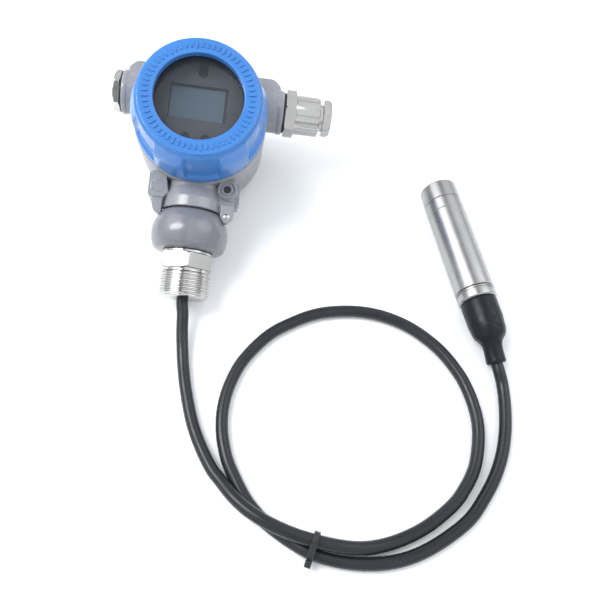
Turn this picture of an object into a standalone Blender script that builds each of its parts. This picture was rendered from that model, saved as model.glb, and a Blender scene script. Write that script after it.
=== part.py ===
"""Submersible level transmitter: a display head, a cable tied in one loop and a steel probe, on a table.

Units are metres and +Z is up. The head's own frame has X along its two cable entries, Y up its neck towards
the housing and Z out of the display window. The head lies on its rounded back and on the end of its fitting.
"""

import math

import bmesh
import bpy
from mathutils import Matrix, Vector

MM = 0.001
GAP = 0.3 * MM

# Where the head and the probe lie on the table
HEAD_PLACE = (-76.15 * MM, 43.60 * MM)
HEAD_ROLL = math.radians(8.2)
PROBE_NOSE_PLACE = (93.05 * MM, 37.90 * MM)
PROBE_HEADING = math.radians(-73.45)

# Housing casting
BODY_RADIUS = 43.4 * MM
BODY_WALL = 6.9 * MM
BODY_BACK = 45.0 * MM
BACK_ROUND = 16.0 * MM
BODY_SHOULDER = 16.2 * MM
BODY_EDGE = 1.0 * MM
FLOOR_THICKNESS = 6.0 * MM
FLOOR_ROUND = 5.0 * MM
SPIGOT_WALL = 4.0 * MM
SPIGOT_TOP = 34.0 * MM
SPIGOT_ROOT = 5.4 * MM
SPIGOT_TAPER = 2.0 * MM

# Cable entries at the housing's sides, each with a web above it
ENTRY_OFFSET = 19.4 * MM
ENTRY_RADIUS = 14.2 * MM
ENTRY_BORE_RADIUS = 10.2 * MM
ENTRY_REACH = 10.8 * MM
WEB_RISE = 18.8 * MM
WEB_REACH = 4.1 * MM
WEB_CORNER = 3.0 * MM
WEB_FOOT = 3.4 * MM
WEB_THICKNESS = 19.0 * MM
BORE_TURN = 3.0

# Neck of the casting
NECK_ROOT_RADIUS = 15.4 * MM
NECK_RADIUS = 19.3 * MM
NECK_BORE_RADIUS = 11.5 * MM
NECK_REACH = 16.1 * MM
NECK_FLARE_START = 1.5 * MM
NECK_FLARE_END = 7.5 * MM

# Small bosses beside the neck
BOSS_FRONT = 12.0 * MM
BOSS_TUCK = 10.0 * MM
BOSS_HOLE_ACROSS = 21.6 * MM
BOSS_HOLE_BELOW = 0.2 * MM
BOSS_HOLE_RADIUS = 2.1 * MM
COUNTERBORE_RADIUS = 4.4 * MM
PAD_SPOT_ACROSS = -23.0 * MM
PAD_SPOT_BELOW = 2.8 * MM
PAD_SPOT_RADIUS = 3.3 * MM
TAG_ACROSS = 23.3 * MM
TAG_BELOW = 2.9 * MM
TAG_FRONT_STEP = 0.5 * MM
TAG_THICKNESS = 3.5 * MM
RIVET_RADIUS = 1.1 * MM
RIVET_HEAD_RADIUS = 1.9 * MM
RIVET_HEAD = 0.8 * MM

# Front cover and window
COVER_SHOULDER_GAP = 0.6 * MM
COVER_RADIUS = 42.9 * MM
COVER_WALL = 5.6 * MM
COVER_FRONT = 53.1 * MM
COVER_EDGE = 0.8 * MM
COVER_RIM = 3.9 * MM
FLANGE_HEIGHT = 5.0 * MM
SCOOP_DEPTH = 2.9 * MM
FACE_INSET = 5.8 * MM
FACE_WIDTH = 9.6 * MM
WINDOW_LIP = 4.4 * MM
LUG_COUNT = 6
LUG_ANGLE = math.radians(-112.0)
COVER_SIDES = 36
WINDOW_GASKET_THICKNESS = 0.8 * MM
GLASS_HELD = 3.5 * MM
GLASS_THICKNESS = 4.5 * MM
RETAINER_THICKNESS = 3.0 * MM
RETAINER_WIDER = 2.2 * MM
COVER_RING_SECTION = 1.2 * MM

# Display module
BEZEL_FRONT = 38.8 * MM
BEZEL_THICKNESS = 2.5 * MM
BEZEL_CLEARANCE = 1.6 * MM
LCD_WINDOW = (36.2 * MM, 23.0 * MM)
LCD_CENTRE = (-0.3 * MM, 1.0 * MM)
LCD_BORDER = 1.8 * MM
LCD_THICKNESS = 2.4 * MM
BOARD_THICKNESS = 1.6 * MM
DISPLAY_BOARD_INSET = 2.4 * MM
KEY_RADIUS = 2.3 * MM
KEY_PLACES = ((-7.0 * MM, -21.0 * MM), (5.4 * MM, -21.0 * MM))
KEY_STAND = 0.8 * MM
KEY_TRAVEL = 0.6 * MM
SLOT_WIDTH = 6.0 * MM
DISPLAY_SCREW_HEAD = 2.5 * MM
DISPLAY_SCREW_SHANK = 1.3 * MM
POST_RADIUS = 2.7 * MM
POST_PLACES = ((0.0, 21.4 * MM), (-19.5 * MM, -16.5 * MM), (19.5 * MM, -16.5 * MM))

# Terminal board under the display
TERMINAL_BOARD_TOP = -10.4 * MM
TERMINAL_BOARD_CLEARANCE = 6.5 * MM
STANDOFF_RADIUS = 3.0 * MM
STANDOFF_PLACES = ((-22.0 * MM, 12.0 * MM), (22.0 * MM, 12.0 * MM), (0.0, 25.0 * MM))
BLOCK_SIZE = (30.0 * MM, 12.0 * MM, 11.0 * MM)
BLOCK_PLACE = (0.0, -3.0 * MM)
TERMINAL_PITCH = 9.0 * MM
TERMINAL_SCREW_RADIUS = 2.5 * MM
TERMINAL_SCREW_LENGTH = 3.0 * MM

# Blind plug in the left entry
ENTRY_GASKET_THICKNESS = 0.8 * MM
ENTRY_THREAD_RADIUS = 9.9 * MM
PLUG_FLATS = 24.6 * MM
PLUG_HEAD = 4.3 * MM
PLUG_ENGAGED = 7.5 * MM

# Cable gland in the right entry
GLAND_FLATS = 28.1 * MM
GLAND_HEX = 6.9 * MM
GLAND_THREAD = 9.0 * MM
BARREL_RADIUS = 13.2 * MM
BARREL_LENGTH = 16.9 * MM
FLUTE_COUNT = 12
FLUTE_DEPTH = 0.9 * MM
GLAND_CORE_RADIUS = 9.3 * MM
GLAND_BORE_RADIUS = 6.2 * MM
GLAND_SEAL_LENGTH = 5.6 * MM
DISC_THICKNESS = 1.0 * MM
WASHER_THICKNESS = 1.2 * MM
NUT_ENGAGED = 4.5 * MM
NUT_NECK = 2.6 * MM
NUT_FLATS = 22.0 * MM
NUT_HEAD = 5.7 * MM
HEX_TURN = 4.0

# Ball adapter and threaded fitting below the neck
SEAM_THICKNESS = 1.0 * MM
BALL_RADIUS = 25.3 * MM
BALL_HALF_HEIGHT = 23.5 * MM
BALL_LENGTH = 25.2 * MM
BALL_BULGE = 11.1 * MM
BALL_BORE_RADIUS = 12.0 * MM
BALL_FOOT_RADIUS = 19.6 * MM
RING_RADIUS = 16.7 * MM
RING_THICKNESS = 1.9 * MM
FITTING_FLATS = 32.4 * MM
FITTING_HEX = 9.5 * MM
FITTING_SHANK = 20.0 * MM
FITTING_TURN = 24.0
GROOVE_RADIUS = 14.6 * MM
GROOVE_LENGTH = 2.0 * MM
THREAD_RADIUS = 16.55 * MM
THREAD_LENGTH = 16.6 * MM
SEAL_POCKET_RADIUS = 8.0 * MM
LOWER_BORE_LENGTH = 12.9 * MM
SEAL_LENGTH = 6.3 * MM
CLAMP_LENGTH = 6.0 * MM

# Cable
CABLE_RADIUS = 3.9 * MM
CABLE_CLEARANCE = 0.4 * MM
WIRE_RADIUS = 0.9 * MM

# Probe
PROBE_RADIUS = 13.0 * MM
NOSE_LENGTH = 13.0 * MM
NOSE_WALL = 1.8 * MM
NOSE_HOLE_RADIUS = 1.8 * MM
TUBE_LENGTH = 71.5 * MM
TUBE_BORE_RADIUS = 11.0 * MM
TUBE_GROOVE = 11.8 * MM
CAPSULE_LENGTH = 10.0 * MM
CAPSULE_FACE_GAP = 0.7 * MM
SENSOR_RING_SECTION = 0.8 * MM
COLLAR_LENGTH = 7.6 * MM
COLLAR_SPIGOT = 9.0 * MM
COLLAR_TAIL_RADIUS = 9.5 * MM
COLLAR_TAIL = 15.0 * MM
PROBE_BOARD_WIDTH = 14.0 * MM
BOOT_RADIUS = 12.1 * MM
BOOT_END_RADIUS = 5.5 * MM
BOOT_WALL = 1.1 * MM
BOOT_LENGTH = 43.4 * MM
BOOT_END_HEIGHT = 6.4 * MM

# Zip tie, round both runs of the cable where they lie side by side
TIE_PLACE = (22.15 * MM, -212.40 * MM, 8.2 * MM)
TIE_HEADING = math.radians(-14.0)
TIE_RUNS = ((3.15 * MM, 2.65 * MM), (-3.15 * MM, -2.65 * MM))
TIE_THICKNESS = 1.2 * MM
TIE_WIDTH = 3.6 * MM
TIE_HEAD = (3.8 * MM, 3.8 * MM, 4.6 * MM)

# The cable's way from the fitting to the probe, in millimetres
CABLE_ROUTE = (
    (-74.95, -76.60, 12.5),
    (-74.35, -83.90, 10.1),
    (-73.55, -91.40, 7.7),
    (-72.15, -100.20, 5.4),
    (-70.25, -109.80, 4.1),
    (-66.05, -125.20, 3.95),
    (-59.05, -145.00, 3.95),
    (-51.75, -159.40, 3.95),
    (-42.65, -173.10, 4.5),
    (-35.15, -180.80, 6.0),
    (-27.65, -188.20, 8.7),
    (-18.95, -194.90, 11.2),
    (-11.15, -199.30, 12.3),
    (-3.45, -202.70, 12.5),
    (9.45, -206.80, 12.3),
    (22.35, -209.20, 10.9),
    (35.15, -210.70, 9.7),
    (48.25, -210.60, 7.4),
    (61.25, -207.90, 5.1),
    (74.35, -202.60, 4.0),
    (87.65, -194.70, 3.95),
    (101.05, -183.10, 3.95),
    (108.55, -173.50, 3.95),
    (115.85, -158.70, 3.95),
    (118.75, -141.40, 3.95),
    (118.15, -127.20, 3.95),
    (113.95, -112.20, 3.95),
    (106.75, -98.00, 3.95),
    (94.05, -82.70, 3.95),
    (75.55, -69.50, 3.95),
    (55.45, -62.40, 3.95),
    (35.15, -61.10, 3.95),
    (13.75, -65.00, 3.95),
    (-4.35, -74.00, 3.95),
    (-18.45, -84.60, 3.95),
    (-31.95, -102.50, 3.95),
    (-38.45, -119.50, 3.95),
    (-40.65, -135.60, 3.95),
    (-39.15, -150.70, 3.95),
    (-34.65, -165.10, 3.95),
    (-29.25, -175.20, 3.95),
    (-20.45, -188.20, 3.95),
    (-12.55, -196.40, 3.95),
    (-4.65, -202.40, 3.95),
    (8.25, -209.80, 4.4),
    (21.85, -215.60, 5.55),
    (35.55, -218.00, 4.7),
    (48.65, -218.50, 3.95),
    (61.65, -217.30, 3.95),
    (74.55, -213.90, 3.95),
    (87.65, -207.70, 3.95),
    (100.85, -198.70, 3.95),
    (111.75, -189.20, 3.95),
    (118.65, -179.80, 3.95),
    (126.95, -165.20, 3.95),
    (132.55, -150.30, 3.95),
    (135.45, -135.20, 3.95),
    (136.25, -119.80, 3.95),
    (135.35, -105.20, 4.3),
)
CABLE_SPACING = 15.5 * MM

SMOOTH_ANGLE = math.radians(32)


def material(name, colour, roughness, metallic=0.0):
    """A plain Principled finish."""
    made = bpy.data.materials.new(name)
    made.use_nodes = True
    shader = made.node_tree.nodes["Principled BSDF"]
    shader.inputs["Base Color"].default_value = (*colour, 1.0)
    shader.inputs["Roughness"].default_value = roughness
    shader.inputs["Metallic"].default_value = metallic
    return made


def finish(name, bm, look, parent=None, place=Matrix()):
    """Turns a bmesh into a shaded object at its place in its parent's frame."""
    bmesh.ops.recalc_face_normals(bm, faces=bm.faces)
    mesh = bpy.data.meshes.new(name)
    bm.to_mesh(mesh)
    bm.free()
    mesh.shade_smooth()
    mesh.set_sharp_from_angle(angle=SMOOTH_ANGLE)
    obj = bpy.data.objects.new(name, mesh)
    bpy.context.scene.collection.objects.link(obj)
    if look:
        mesh.materials.append(look)
    obj.parent = parent
    obj.matrix_local = place
    return obj


def turned(name, outline, sides, look, parent=None, place=Matrix()):
    """A turned solid about local Z. The outline is (radius, height) pairs: closed, or from axis to axis.

    A radius may be a function of the angle, for hexagons, flutes and grips.
    """
    bm = bmesh.new()
    rings = []
    for radius, height in outline:
        if radius == 0:
            rings.append([bm.verts.new((0, 0, height))])
            continue
        ring = []
        for step in range(sides):
            angle = math.tau * step / sides
            reach = radius(angle) if callable(radius) else radius
            ring.append(bm.verts.new((reach * math.cos(angle), reach * math.sin(angle), height)))
        rings.append(ring)
    bands = list(zip(rings, rings[1:]))
    if len(rings[0]) > 1:
        bands.append((rings[-1], rings[0]))
    for low, high in bands:
        for step in range(sides):
            after = (step + 1) % sides
            around = ((low, step), (low, after), (high, after), (high, step))
            corners = [ring[place % len(ring)] for ring, place in around]
            bm.faces.new(list(dict.fromkeys(corners)))
    return finish(name, bm, look, parent, place)


def extruded(name, outline, low, high, look, parent=None, place=Matrix()):
    """A prism: an outline of (x, y) points between two heights."""
    bm = bmesh.new()
    floor = bm.faces.new([bm.verts.new((x, y, low)) for x, y in outline])
    grown = bmesh.ops.extrude_face_region(bm, geom=[floor])
    moved = [item for item in grown["geom"] if isinstance(item, bmesh.types.BMVert)]
    bmesh.ops.translate(bm, verts=moved, vec=(0, 0, high - low))
    return finish(name, bm, look, parent, place)


def rectangle(width, depth, centre=(0.0, 0.0), corner=0.0):
    """Four corners, each cut off by the given length."""
    x, y = centre
    points = []
    for sx, sy in ((-1, -1), (1, -1), (1, 1), (-1, 1)):
        ends = [
            (x + sx * (width / 2 - corner), y + sy * depth / 2),
            (x + sx * width / 2, y + sy * (depth / 2 - corner)),
        ]
        if sx * sy > 0:
            ends.reverse()
        points += ends if corner else ends[:1]
    return points


def ring_outline(inner, outer, low, high, edge=0.0):
    """The section of a flat ring, with its outer corners cut off by the given length."""
    if not edge:
        return [(inner, low), (outer, low), (outer, high), (inner, high)]
    return [
        (inner, low),
        (outer - edge, low),
        (outer, low + edge),
        (outer, high - edge),
        (outer - edge, high),
        (inner, high),
    ]


def cylinder_outline(radius, low, high):
    """The section of a plain cylinder, from its axis round to its axis."""
    return [(0, low), (radius, low), (radius, high), (0, high)]


def torus_outline(centre_radius, section, height, points=8):
    """The round section of a sealing ring."""
    turns = [math.tau * (step + 0.5) / points for step in range(points)]
    return [(centre_radius + section * math.cos(turn), height + section * math.sin(turn)) for turn in turns]


def hexagon(flats, most=None):
    """Radius of a hexagon by angle, no further out than most, which gives the turned chamfer."""

    def reach(angle):
        side = flats / 2 / math.cos(angle % (math.pi / 3) - math.pi / 6)
        return side if most is None else min(side, most)

    return reach


def join(body, tool, operation):
    """Adds or cuts a helper solid."""
    modifier = body.modifiers.new(f"{operation.lower()}_{tool.name}", "BOOLEAN")
    modifier.operation = operation
    modifier.object = tool
    tool.hide_render = True
    tool.display_type = "WIRE"


def smooth_route(points, spacing):
    """Even points on a smooth curve through the route's own points."""
    places = [Vector(point) for point in points]
    places = [2 * places[0] - places[1], *places, 2 * places[-1] - places[-2]]
    fine = []
    for before, start, end, after in zip(places, places[1:], places[2:], places[3:]):
        for step in range(12):
            t = step / 12
            fine.append(
                0.5
                * (
                    2 * start
                    + (end - before) * t
                    + (2 * before - 5 * start + 4 * end - after) * t**2
                    + (3 * start - before - 3 * end + after) * t**3
                )
            )
    fine.append(places[-2])
    length = sum((b - a).length for a, b in zip(fine, fine[1:]))
    count = round(length / spacing)
    even = [fine[0]]
    walked = 0.0
    for a, b in zip(fine, fine[1:]):
        step = (b - a).length
        while len(even) < count and walked + step >= length * len(even) / count:
            even.append(a.lerp(b, (length * len(even) / count - walked) / step))
        walked += step
    return [*even, fine[-1]]


def tube(name, points, radius, resolution, look, parent=None):
    """A round cord or wire as a bevelled curve with closed ends."""
    curve = bpy.data.curves.new(name, "CURVE")
    curve.dimensions = "3D"
    curve.bevel_depth = radius
    curve.bevel_resolution = resolution
    curve.use_fill_caps = True
    spline = curve.splines.new("POLY")
    spline.points.add(len(points) - 1)
    for knot, place in zip(spline.points, points):
        knot.co = (*place, 1.0)
    curve.materials.append(look)
    obj = bpy.data.objects.new(name, curve)
    bpy.context.scene.collection.objects.link(obj)
    obj.parent = parent
    return obj


def reach_down(tilt):
    """How far the head's back and its fitting's end reach below its origin when its neck dips by tilt."""
    right = -math.sin(HEAD_ROLL) * math.cos(tilt)
    out = math.cos(HEAD_ROLL) * math.cos(tilt)
    flat = BODY_RADIUS - BACK_ROUND
    back = flat * math.hypot(right, math.sin(tilt)) + (BODY_BACK - BACK_ROUND) * out + BACK_ROUND
    return back, FITTING_END * math.sin(tilt) + THREAD_RADIUS * math.cos(tilt)


def rest_tilt():
    """The dip at which the rounded back and the fitting's end both touch the table."""
    low = 0.0
    high = math.radians(60)
    for _ in range(50):
        middle = (low + high) / 2
        back, end = reach_down(middle)
        if back > end:
            low = middle
        else:
            high = middle
    return low


def turn(degrees, axis):
    return Matrix.Rotation(math.radians(degrees), 4, axis)


def place_at(x, y, z):
    return Matrix.Translation((x, y, z))


NECK_END = BODY_RADIUS + NECK_REACH
BALL_START = NECK_END + SEAM_THICKNESS + 2 * GAP
BALL_END = BALL_START + BALL_LENGTH
BALL_CENTRE = BALL_END - BALL_BULGE
RING_START = BALL_END + GAP
HEX_START = RING_START + RING_THICKNESS + GAP
GROOVE_START = HEX_START + FITTING_HEX
THREAD_START = GROOVE_START + GROOVE_LENGTH
FITTING_END = THREAD_START + THREAD_LENGTH
SEAL_STEP = FITTING_END - LOWER_BORE_LENGTH
SEAL_FRONT = SEAL_STEP - GAP - SEAL_LENGTH
HEAD_TILT = rest_tilt()
HEAD_HEIGHT = max(reach_down(HEAD_TILT))

CHAMBER_RADIUS = BODY_RADIUS - BODY_WALL
ENTRY_END = BODY_RADIUS + ENTRY_REACH
BOSS_HOLE_PLACE = (BOSS_HOLE_ACROSS, -(BODY_RADIUS + BOSS_HOLE_BELOW))
PAD_SPOT_PLACE = (PAD_SPOT_ACROSS, -(BODY_RADIUS + PAD_SPOT_BELOW))
TAG_PLACE = (TAG_ACROSS, -(NECK_END + TAG_BELOW))
TAG_FRONT = BOSS_FRONT - TAG_FRONT_STEP

COVER_REAR = BODY_SHOULDER + COVER_SHOULDER_GAP
COVER_BORE_RADIUS = COVER_RADIUS - COVER_WALL
SPIGOT_RADIUS = COVER_BORE_RADIUS - GAP
SPIGOT_BORE_RADIUS = SPIGOT_RADIUS - SPIGOT_WALL
FACE_RADIUS = COVER_RADIUS - FACE_INSET
WINDOW_RADIUS = FACE_RADIUS - FACE_WIDTH
GLASS_RADIUS = WINDOW_RADIUS + GLASS_HELD
RETAINER_RADIUS = GLASS_RADIUS + RETAINER_WIDER
BEZEL_RADIUS = SPIGOT_BORE_RADIUS - BEZEL_CLEARANCE
DISPLAY_BOARD_RADIUS = BEZEL_RADIUS - DISPLAY_BOARD_INSET
TERMINAL_BOARD_RADIUS = CHAMBER_RADIUS - TERMINAL_BOARD_CLEARANCE
LIP_REAR = COVER_FRONT - WINDOW_LIP
GASKET_FRONT = LIP_REAR - GAP
GLASS_FRONT = GASKET_FRONT - WINDOW_GASKET_THICKNESS - GAP
GLASS_REAR = GLASS_FRONT - GLASS_THICKNESS
RETAINER_FRONT = GLASS_REAR - GAP
LCD_FRONT = BEZEL_FRONT - BEZEL_THICKNESS - GAP
LCD_REAR = LCD_FRONT - LCD_THICKNESS
DISPLAY_BOARD_TOP = LCD_REAR - GAP
CHAMBER_FLOOR = FLOOR_THICKNESS - BODY_BACK
CABLE_BORE_RADIUS = CABLE_RADIUS + CABLE_CLEARANCE

TO_RIGHT = turn(90, "Y")
TO_LEFT = turn(-90, "Y")
TO_NECK = turn(90, "X")
RIGHT_ENTRY = place_at(0, ENTRY_OFFSET, 0) @ TO_RIGHT
LEFT_ENTRY = place_at(0, ENTRY_OFFSET, 0) @ TO_LEFT

for old in list(bpy.data.objects):
    bpy.data.objects.remove(old)

BLUE = material("cover_blue", (0.045, 0.19, 0.72), 0.32)
GREY = material("housing_grey", (0.24, 0.245, 0.265), 0.42)
STEEL = material("steel", (0.62, 0.62, 0.63), 0.26, 1.0)
BLACK_RUBBER = material("black_rubber", (0.02, 0.02, 0.022), 0.7)
CLEAR = material("window_glass", (0.8, 0.85, 0.85), 0.05)
BEZEL_GREY = material("bezel_grey", (0.065, 0.07, 0.08), 0.55)
LCD_GREY = material("lcd_grey", (0.105, 0.15, 0.175), 0.2)
BOARD_GREEN = material("board_green", (0.02, 0.14, 0.06), 0.5)
WHITE_PLASTIC = material("white_plastic", (0.7, 0.7, 0.68), 0.5)
BRASS = material("brass", (0.7, 0.5, 0.2), 0.35, 1.0)
CABLE_GREY = material("cable_sheath", (0.075, 0.078, 0.09), 0.45)
BOOT_BLACK = material("boot_black", (0.035, 0.038, 0.045), 0.45)
RED_WIRE = material("red_wire", (0.5, 0.02, 0.02), 0.45)

head = bpy.data.objects.new("head", None)
bpy.context.scene.collection.objects.link(head)
HEAD_TURN = Matrix.Rotation(HEAD_TILT, 4, "X") @ Matrix.Rotation(HEAD_ROLL, 4, "Y")
head.matrix_world = place_at(*HEAD_PLACE, HEAD_HEIGHT) @ HEAD_TURN


def housing():
    """The casting: a round cup with a rounded back, two cable entries, a neck and its small bosses."""
    flat = BODY_RADIUS - BACK_ROUND
    arc = [math.radians(step * 18) for step in range(6)]
    back = [(flat + BACK_ROUND * math.sin(a), BACK_ROUND * (1 - math.cos(a)) - BODY_BACK) for a in arc]
    outline = [
        (0, -BODY_BACK),
        *back,
        (BODY_RADIUS, BODY_SHOULDER - BODY_EDGE),
        (BODY_RADIUS - BODY_EDGE, BODY_SHOULDER),
        (SPIGOT_RADIUS, BODY_SHOULDER),
        (SPIGOT_RADIUS, SPIGOT_TOP - BODY_EDGE),
        (SPIGOT_RADIUS - BODY_EDGE, SPIGOT_TOP),
        (0, SPIGOT_TOP),
    ]
    body = turned("housing_body", outline, 40, GREY, head)
    stub = [
        (0, 0),
        (ENTRY_RADIUS, 0),
        (ENTRY_RADIUS, ENTRY_END - BODY_EDGE),
        (ENTRY_RADIUS - BODY_EDGE / 2, ENTRY_END),
        (0, ENTRY_END),
    ]
    join(body, turned("right_entry_stub", stub, 32, None, head, RIGHT_ENTRY), "UNION")
    join(body, turned("left_entry_stub", stub, 32, None, head, LEFT_ENTRY), "UNION")
    half = WEB_THICKNESS / 2
    join(body, extruded("entry_webs", web_outline(), -half, half, None, head), "UNION")
    neck = [
        (0, 0),
        (NECK_ROOT_RADIUS, 0),
        (NECK_ROOT_RADIUS, BODY_RADIUS + NECK_FLARE_START),
        (NECK_RADIUS, BODY_RADIUS + NECK_FLARE_END),
        (NECK_RADIUS, NECK_END),
        (0, NECK_END),
    ]
    join(body, turned("neck_stub", neck, 32, None, head, TO_NECK), "UNION")
    for name, boss, low, high in neck_bosses():
        join(body, extruded(name, boss, low, high, None, head), "UNION")
    cavity = [
        (0, CHAMBER_FLOOR),
        (CHAMBER_RADIUS - FLOOR_ROUND, CHAMBER_FLOOR),
        (CHAMBER_RADIUS, CHAMBER_FLOOR + FLOOR_ROUND),
        (CHAMBER_RADIUS, BODY_SHOULDER - SPIGOT_ROOT),
        (SPIGOT_BORE_RADIUS, BODY_SHOULDER - SPIGOT_ROOT + SPIGOT_TAPER),
        (SPIGOT_BORE_RADIUS, SPIGOT_TOP + MM),
        (0, SPIGOT_TOP + MM),
    ]
    join(body, turned("electronics_chamber", cavity, 40, None, head), "DIFFERENCE")
    for name, radius, depth, (x, y) in boss_holes():
        hole = cylinder_outline(radius, BOSS_FRONT - depth, BOSS_FRONT + MM)
        join(body, turned(name, hole, 16, None, head, place_at(x, y, 0)), "DIFFERENCE")
    clock = turn(BORE_TURN, "Z")
    through = cylinder_outline(ENTRY_BORE_RADIUS, 0, ENTRY_END + MM)
    join(body, turned("right_entry_bore", through, 24, None, head, RIGHT_ENTRY @ clock), "DIFFERENCE")
    join(body, turned("left_entry_bore", through, 24, None, head, LEFT_ENTRY @ clock), "DIFFERENCE")
    through = cylinder_outline(NECK_BORE_RADIUS, 0, NECK_END + MM)
    join(body, turned("neck_bore", through, 24, None, head, TO_NECK @ clock), "DIFFERENCE")


def web_outline():
    """Both webs above the entries in one piece, from the left one's foot round to the right one's."""
    top = ENTRY_OFFSET + WEB_RISE
    end = BODY_RADIUS + WEB_REACH
    foot = ENTRY_END - WEB_FOOT
    half = [
        (end - WEB_CORNER, top),
        (end, top - BODY_EDGE),
        (foot, ENTRY_OFFSET + ENTRY_RADIUS),
        (foot, ENTRY_OFFSET),
    ]
    return [(-x, y) for x, y in reversed(half)] + half


def neck_bosses():
    """The blocks beside the neck: a pad with its rib, a screw boss, a side lug and a pointed tag lug."""
    top = -(BODY_RADIUS - BOSS_TUCK)
    low = -BOSS_FRONT + 4 * MM
    end = -NECK_END
    left = TAG_ACROSS - 4.1 * MM
    right = TAG_ACROSS + 4.1 * MM
    pad = rectangle(10.5 * MM, 20 * MM, (-23.6 * MM, top - 10 * MM), 1.2 * MM)
    rib = rectangle(4.8 * MM, 14 * MM, (-23.7 * MM, end + 4 * MM), 1.5 * MM)
    boss = rectangle(11.4 * MM, 22 * MM, (21.3 * MM, top - 11 * MM), 2.6 * MM)
    lug = rectangle(8 * MM, 15 * MM, (27 * MM, top - 11 * MM), MM)
    tag = [
        (left, end + 7 * MM),
        (right, end + 7 * MM),
        (right, TAG_PLACE[1] + MM),
        (TAG_ACROSS, TAG_PLACE[1] - 4.6 * MM),
        (left, TAG_PLACE[1] + MM),
    ]
    return (
        ("left_pad", pad, low, BOSS_FRONT),
        ("left_rib", rib, 7.2 * MM, BOSS_FRONT - MM),
        ("right_boss", boss, low, BOSS_FRONT),
        ("side_lug", lug, low, 2 * MM),
        ("tag_lug", tag, TAG_FRONT - TAG_THICKNESS, TAG_FRONT),
    )


def boss_holes():
    """Round holes in the front of the bosses: the pad's shallow spot, the counterbore and its thread hole."""
    return (
        ("pad_spot", PAD_SPOT_RADIUS, 1.4 * MM, PAD_SPOT_PLACE),
        ("boss_counterbore", COUNTERBORE_RADIUS, 1.6 * MM, BOSS_HOLE_PLACE),
        ("boss_thread_hole", BOSS_HOLE_RADIUS, 9 * MM, BOSS_HOLE_PLACE),
        ("tag_hole", RIVET_RADIUS + GAP, 10 * MM, TAG_PLACE),
    )


def grip(radius, depth):
    """The cover's outer radius by angle: full on the lugs and less by depth in the scoops between them."""

    def reach(angle):
        phase = angle * LUG_COUNT / math.tau
        on_lug = abs(phase - round(phase)) < 0.26
        return radius if on_lug else radius - depth

    return reach


def cover():
    """The screwed front cover with its window, seals and the ring that holds the glass."""
    pocket = SPIGOT_RADIUS + 2 * GAP + 2 * COVER_RING_SECTION
    pocket_top = BODY_SHOULDER + 2 * GAP + 2 * COVER_RING_SECTION
    edge = COVER_EDGE
    cavity = RETAINER_RADIUS + GAP
    seat = GLASS_RADIUS + GAP
    outline = [
        (pocket, COVER_REAR),
        (COVER_RADIUS - edge, COVER_REAR),
        (COVER_RADIUS, COVER_REAR + edge),
        (COVER_RADIUS, COVER_REAR + FLANGE_HEIGHT),
        (grip(COVER_RADIUS, SCOOP_DEPTH), COVER_REAR + FLANGE_HEIGHT + SCOOP_DEPTH),
        (grip(COVER_RADIUS, SCOOP_DEPTH), COVER_FRONT - 4 * COVER_RIM),
        (grip(COVER_RADIUS - 0.3 * COVER_RIM, 0.7 * SCOOP_DEPTH), COVER_FRONT - 2.9 * COVER_RIM),
        (grip(COVER_RADIUS - 0.65 * COVER_RIM, 0.35 * SCOOP_DEPTH), COVER_FRONT - 1.95 * COVER_RIM),
        (COVER_RADIUS - COVER_RIM, COVER_FRONT - 0.85 * COVER_RIM),
        (FACE_RADIUS + edge, COVER_FRONT - 0.6 * COVER_RIM),
        (FACE_RADIUS, COVER_FRONT - edge),
        (FACE_RADIUS - edge, COVER_FRONT),
        (WINDOW_RADIUS + edge, COVER_FRONT),
        (WINDOW_RADIUS, COVER_FRONT - edge),
        (WINDOW_RADIUS, LIP_REAR),
        (seat, LIP_REAR),
        (seat, GLASS_REAR + GAP),
        (cavity, GLASS_REAR + GAP),
        (cavity, SPIGOT_TOP + 2 * MM),
        (COVER_BORE_RADIUS, SPIGOT_TOP + GAP),
        (COVER_BORE_RADIUS, pocket_top),
        (pocket, pocket_top),
    ]
    turned("front_cover", outline, COVER_SIDES, BLUE, head, Matrix.Rotation(LUG_ANGLE, 4, "Z"))
    ring_height = BODY_SHOULDER + GAP + COVER_RING_SECTION
    ring = torus_outline(SPIGOT_RADIUS + GAP + COVER_RING_SECTION, COVER_RING_SECTION, ring_height, 6)
    turned("cover_seal_ring", ring, 40, BLACK_RUBBER, head)
    clear = WINDOW_RADIUS + 0.4 * MM
    gasket = ring_outline(clear, GLASS_RADIUS, GASKET_FRONT - WINDOW_GASKET_THICKNESS, GASKET_FRONT)
    turned("window_gasket", gasket, 40, BLACK_RUBBER, head)
    pane = [
        (0, GLASS_REAR),
        (GLASS_RADIUS - 0.5 * MM, GLASS_REAR),
        (GLASS_RADIUS, GLASS_REAR + 0.5 * MM),
        (GLASS_RADIUS, GLASS_FRONT - 0.5 * MM),
        (GLASS_RADIUS - 0.5 * MM, GLASS_FRONT),
        (0, GLASS_FRONT),
    ]
    turned("window_glass", pane, 40, CLEAR, head)
    held = ring_outline(clear, RETAINER_RADIUS, RETAINER_FRONT - RETAINER_THICKNESS, RETAINER_FRONT)
    turned("glass_retaining_ring", held, 40, BLACK_RUBBER, head)


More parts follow.
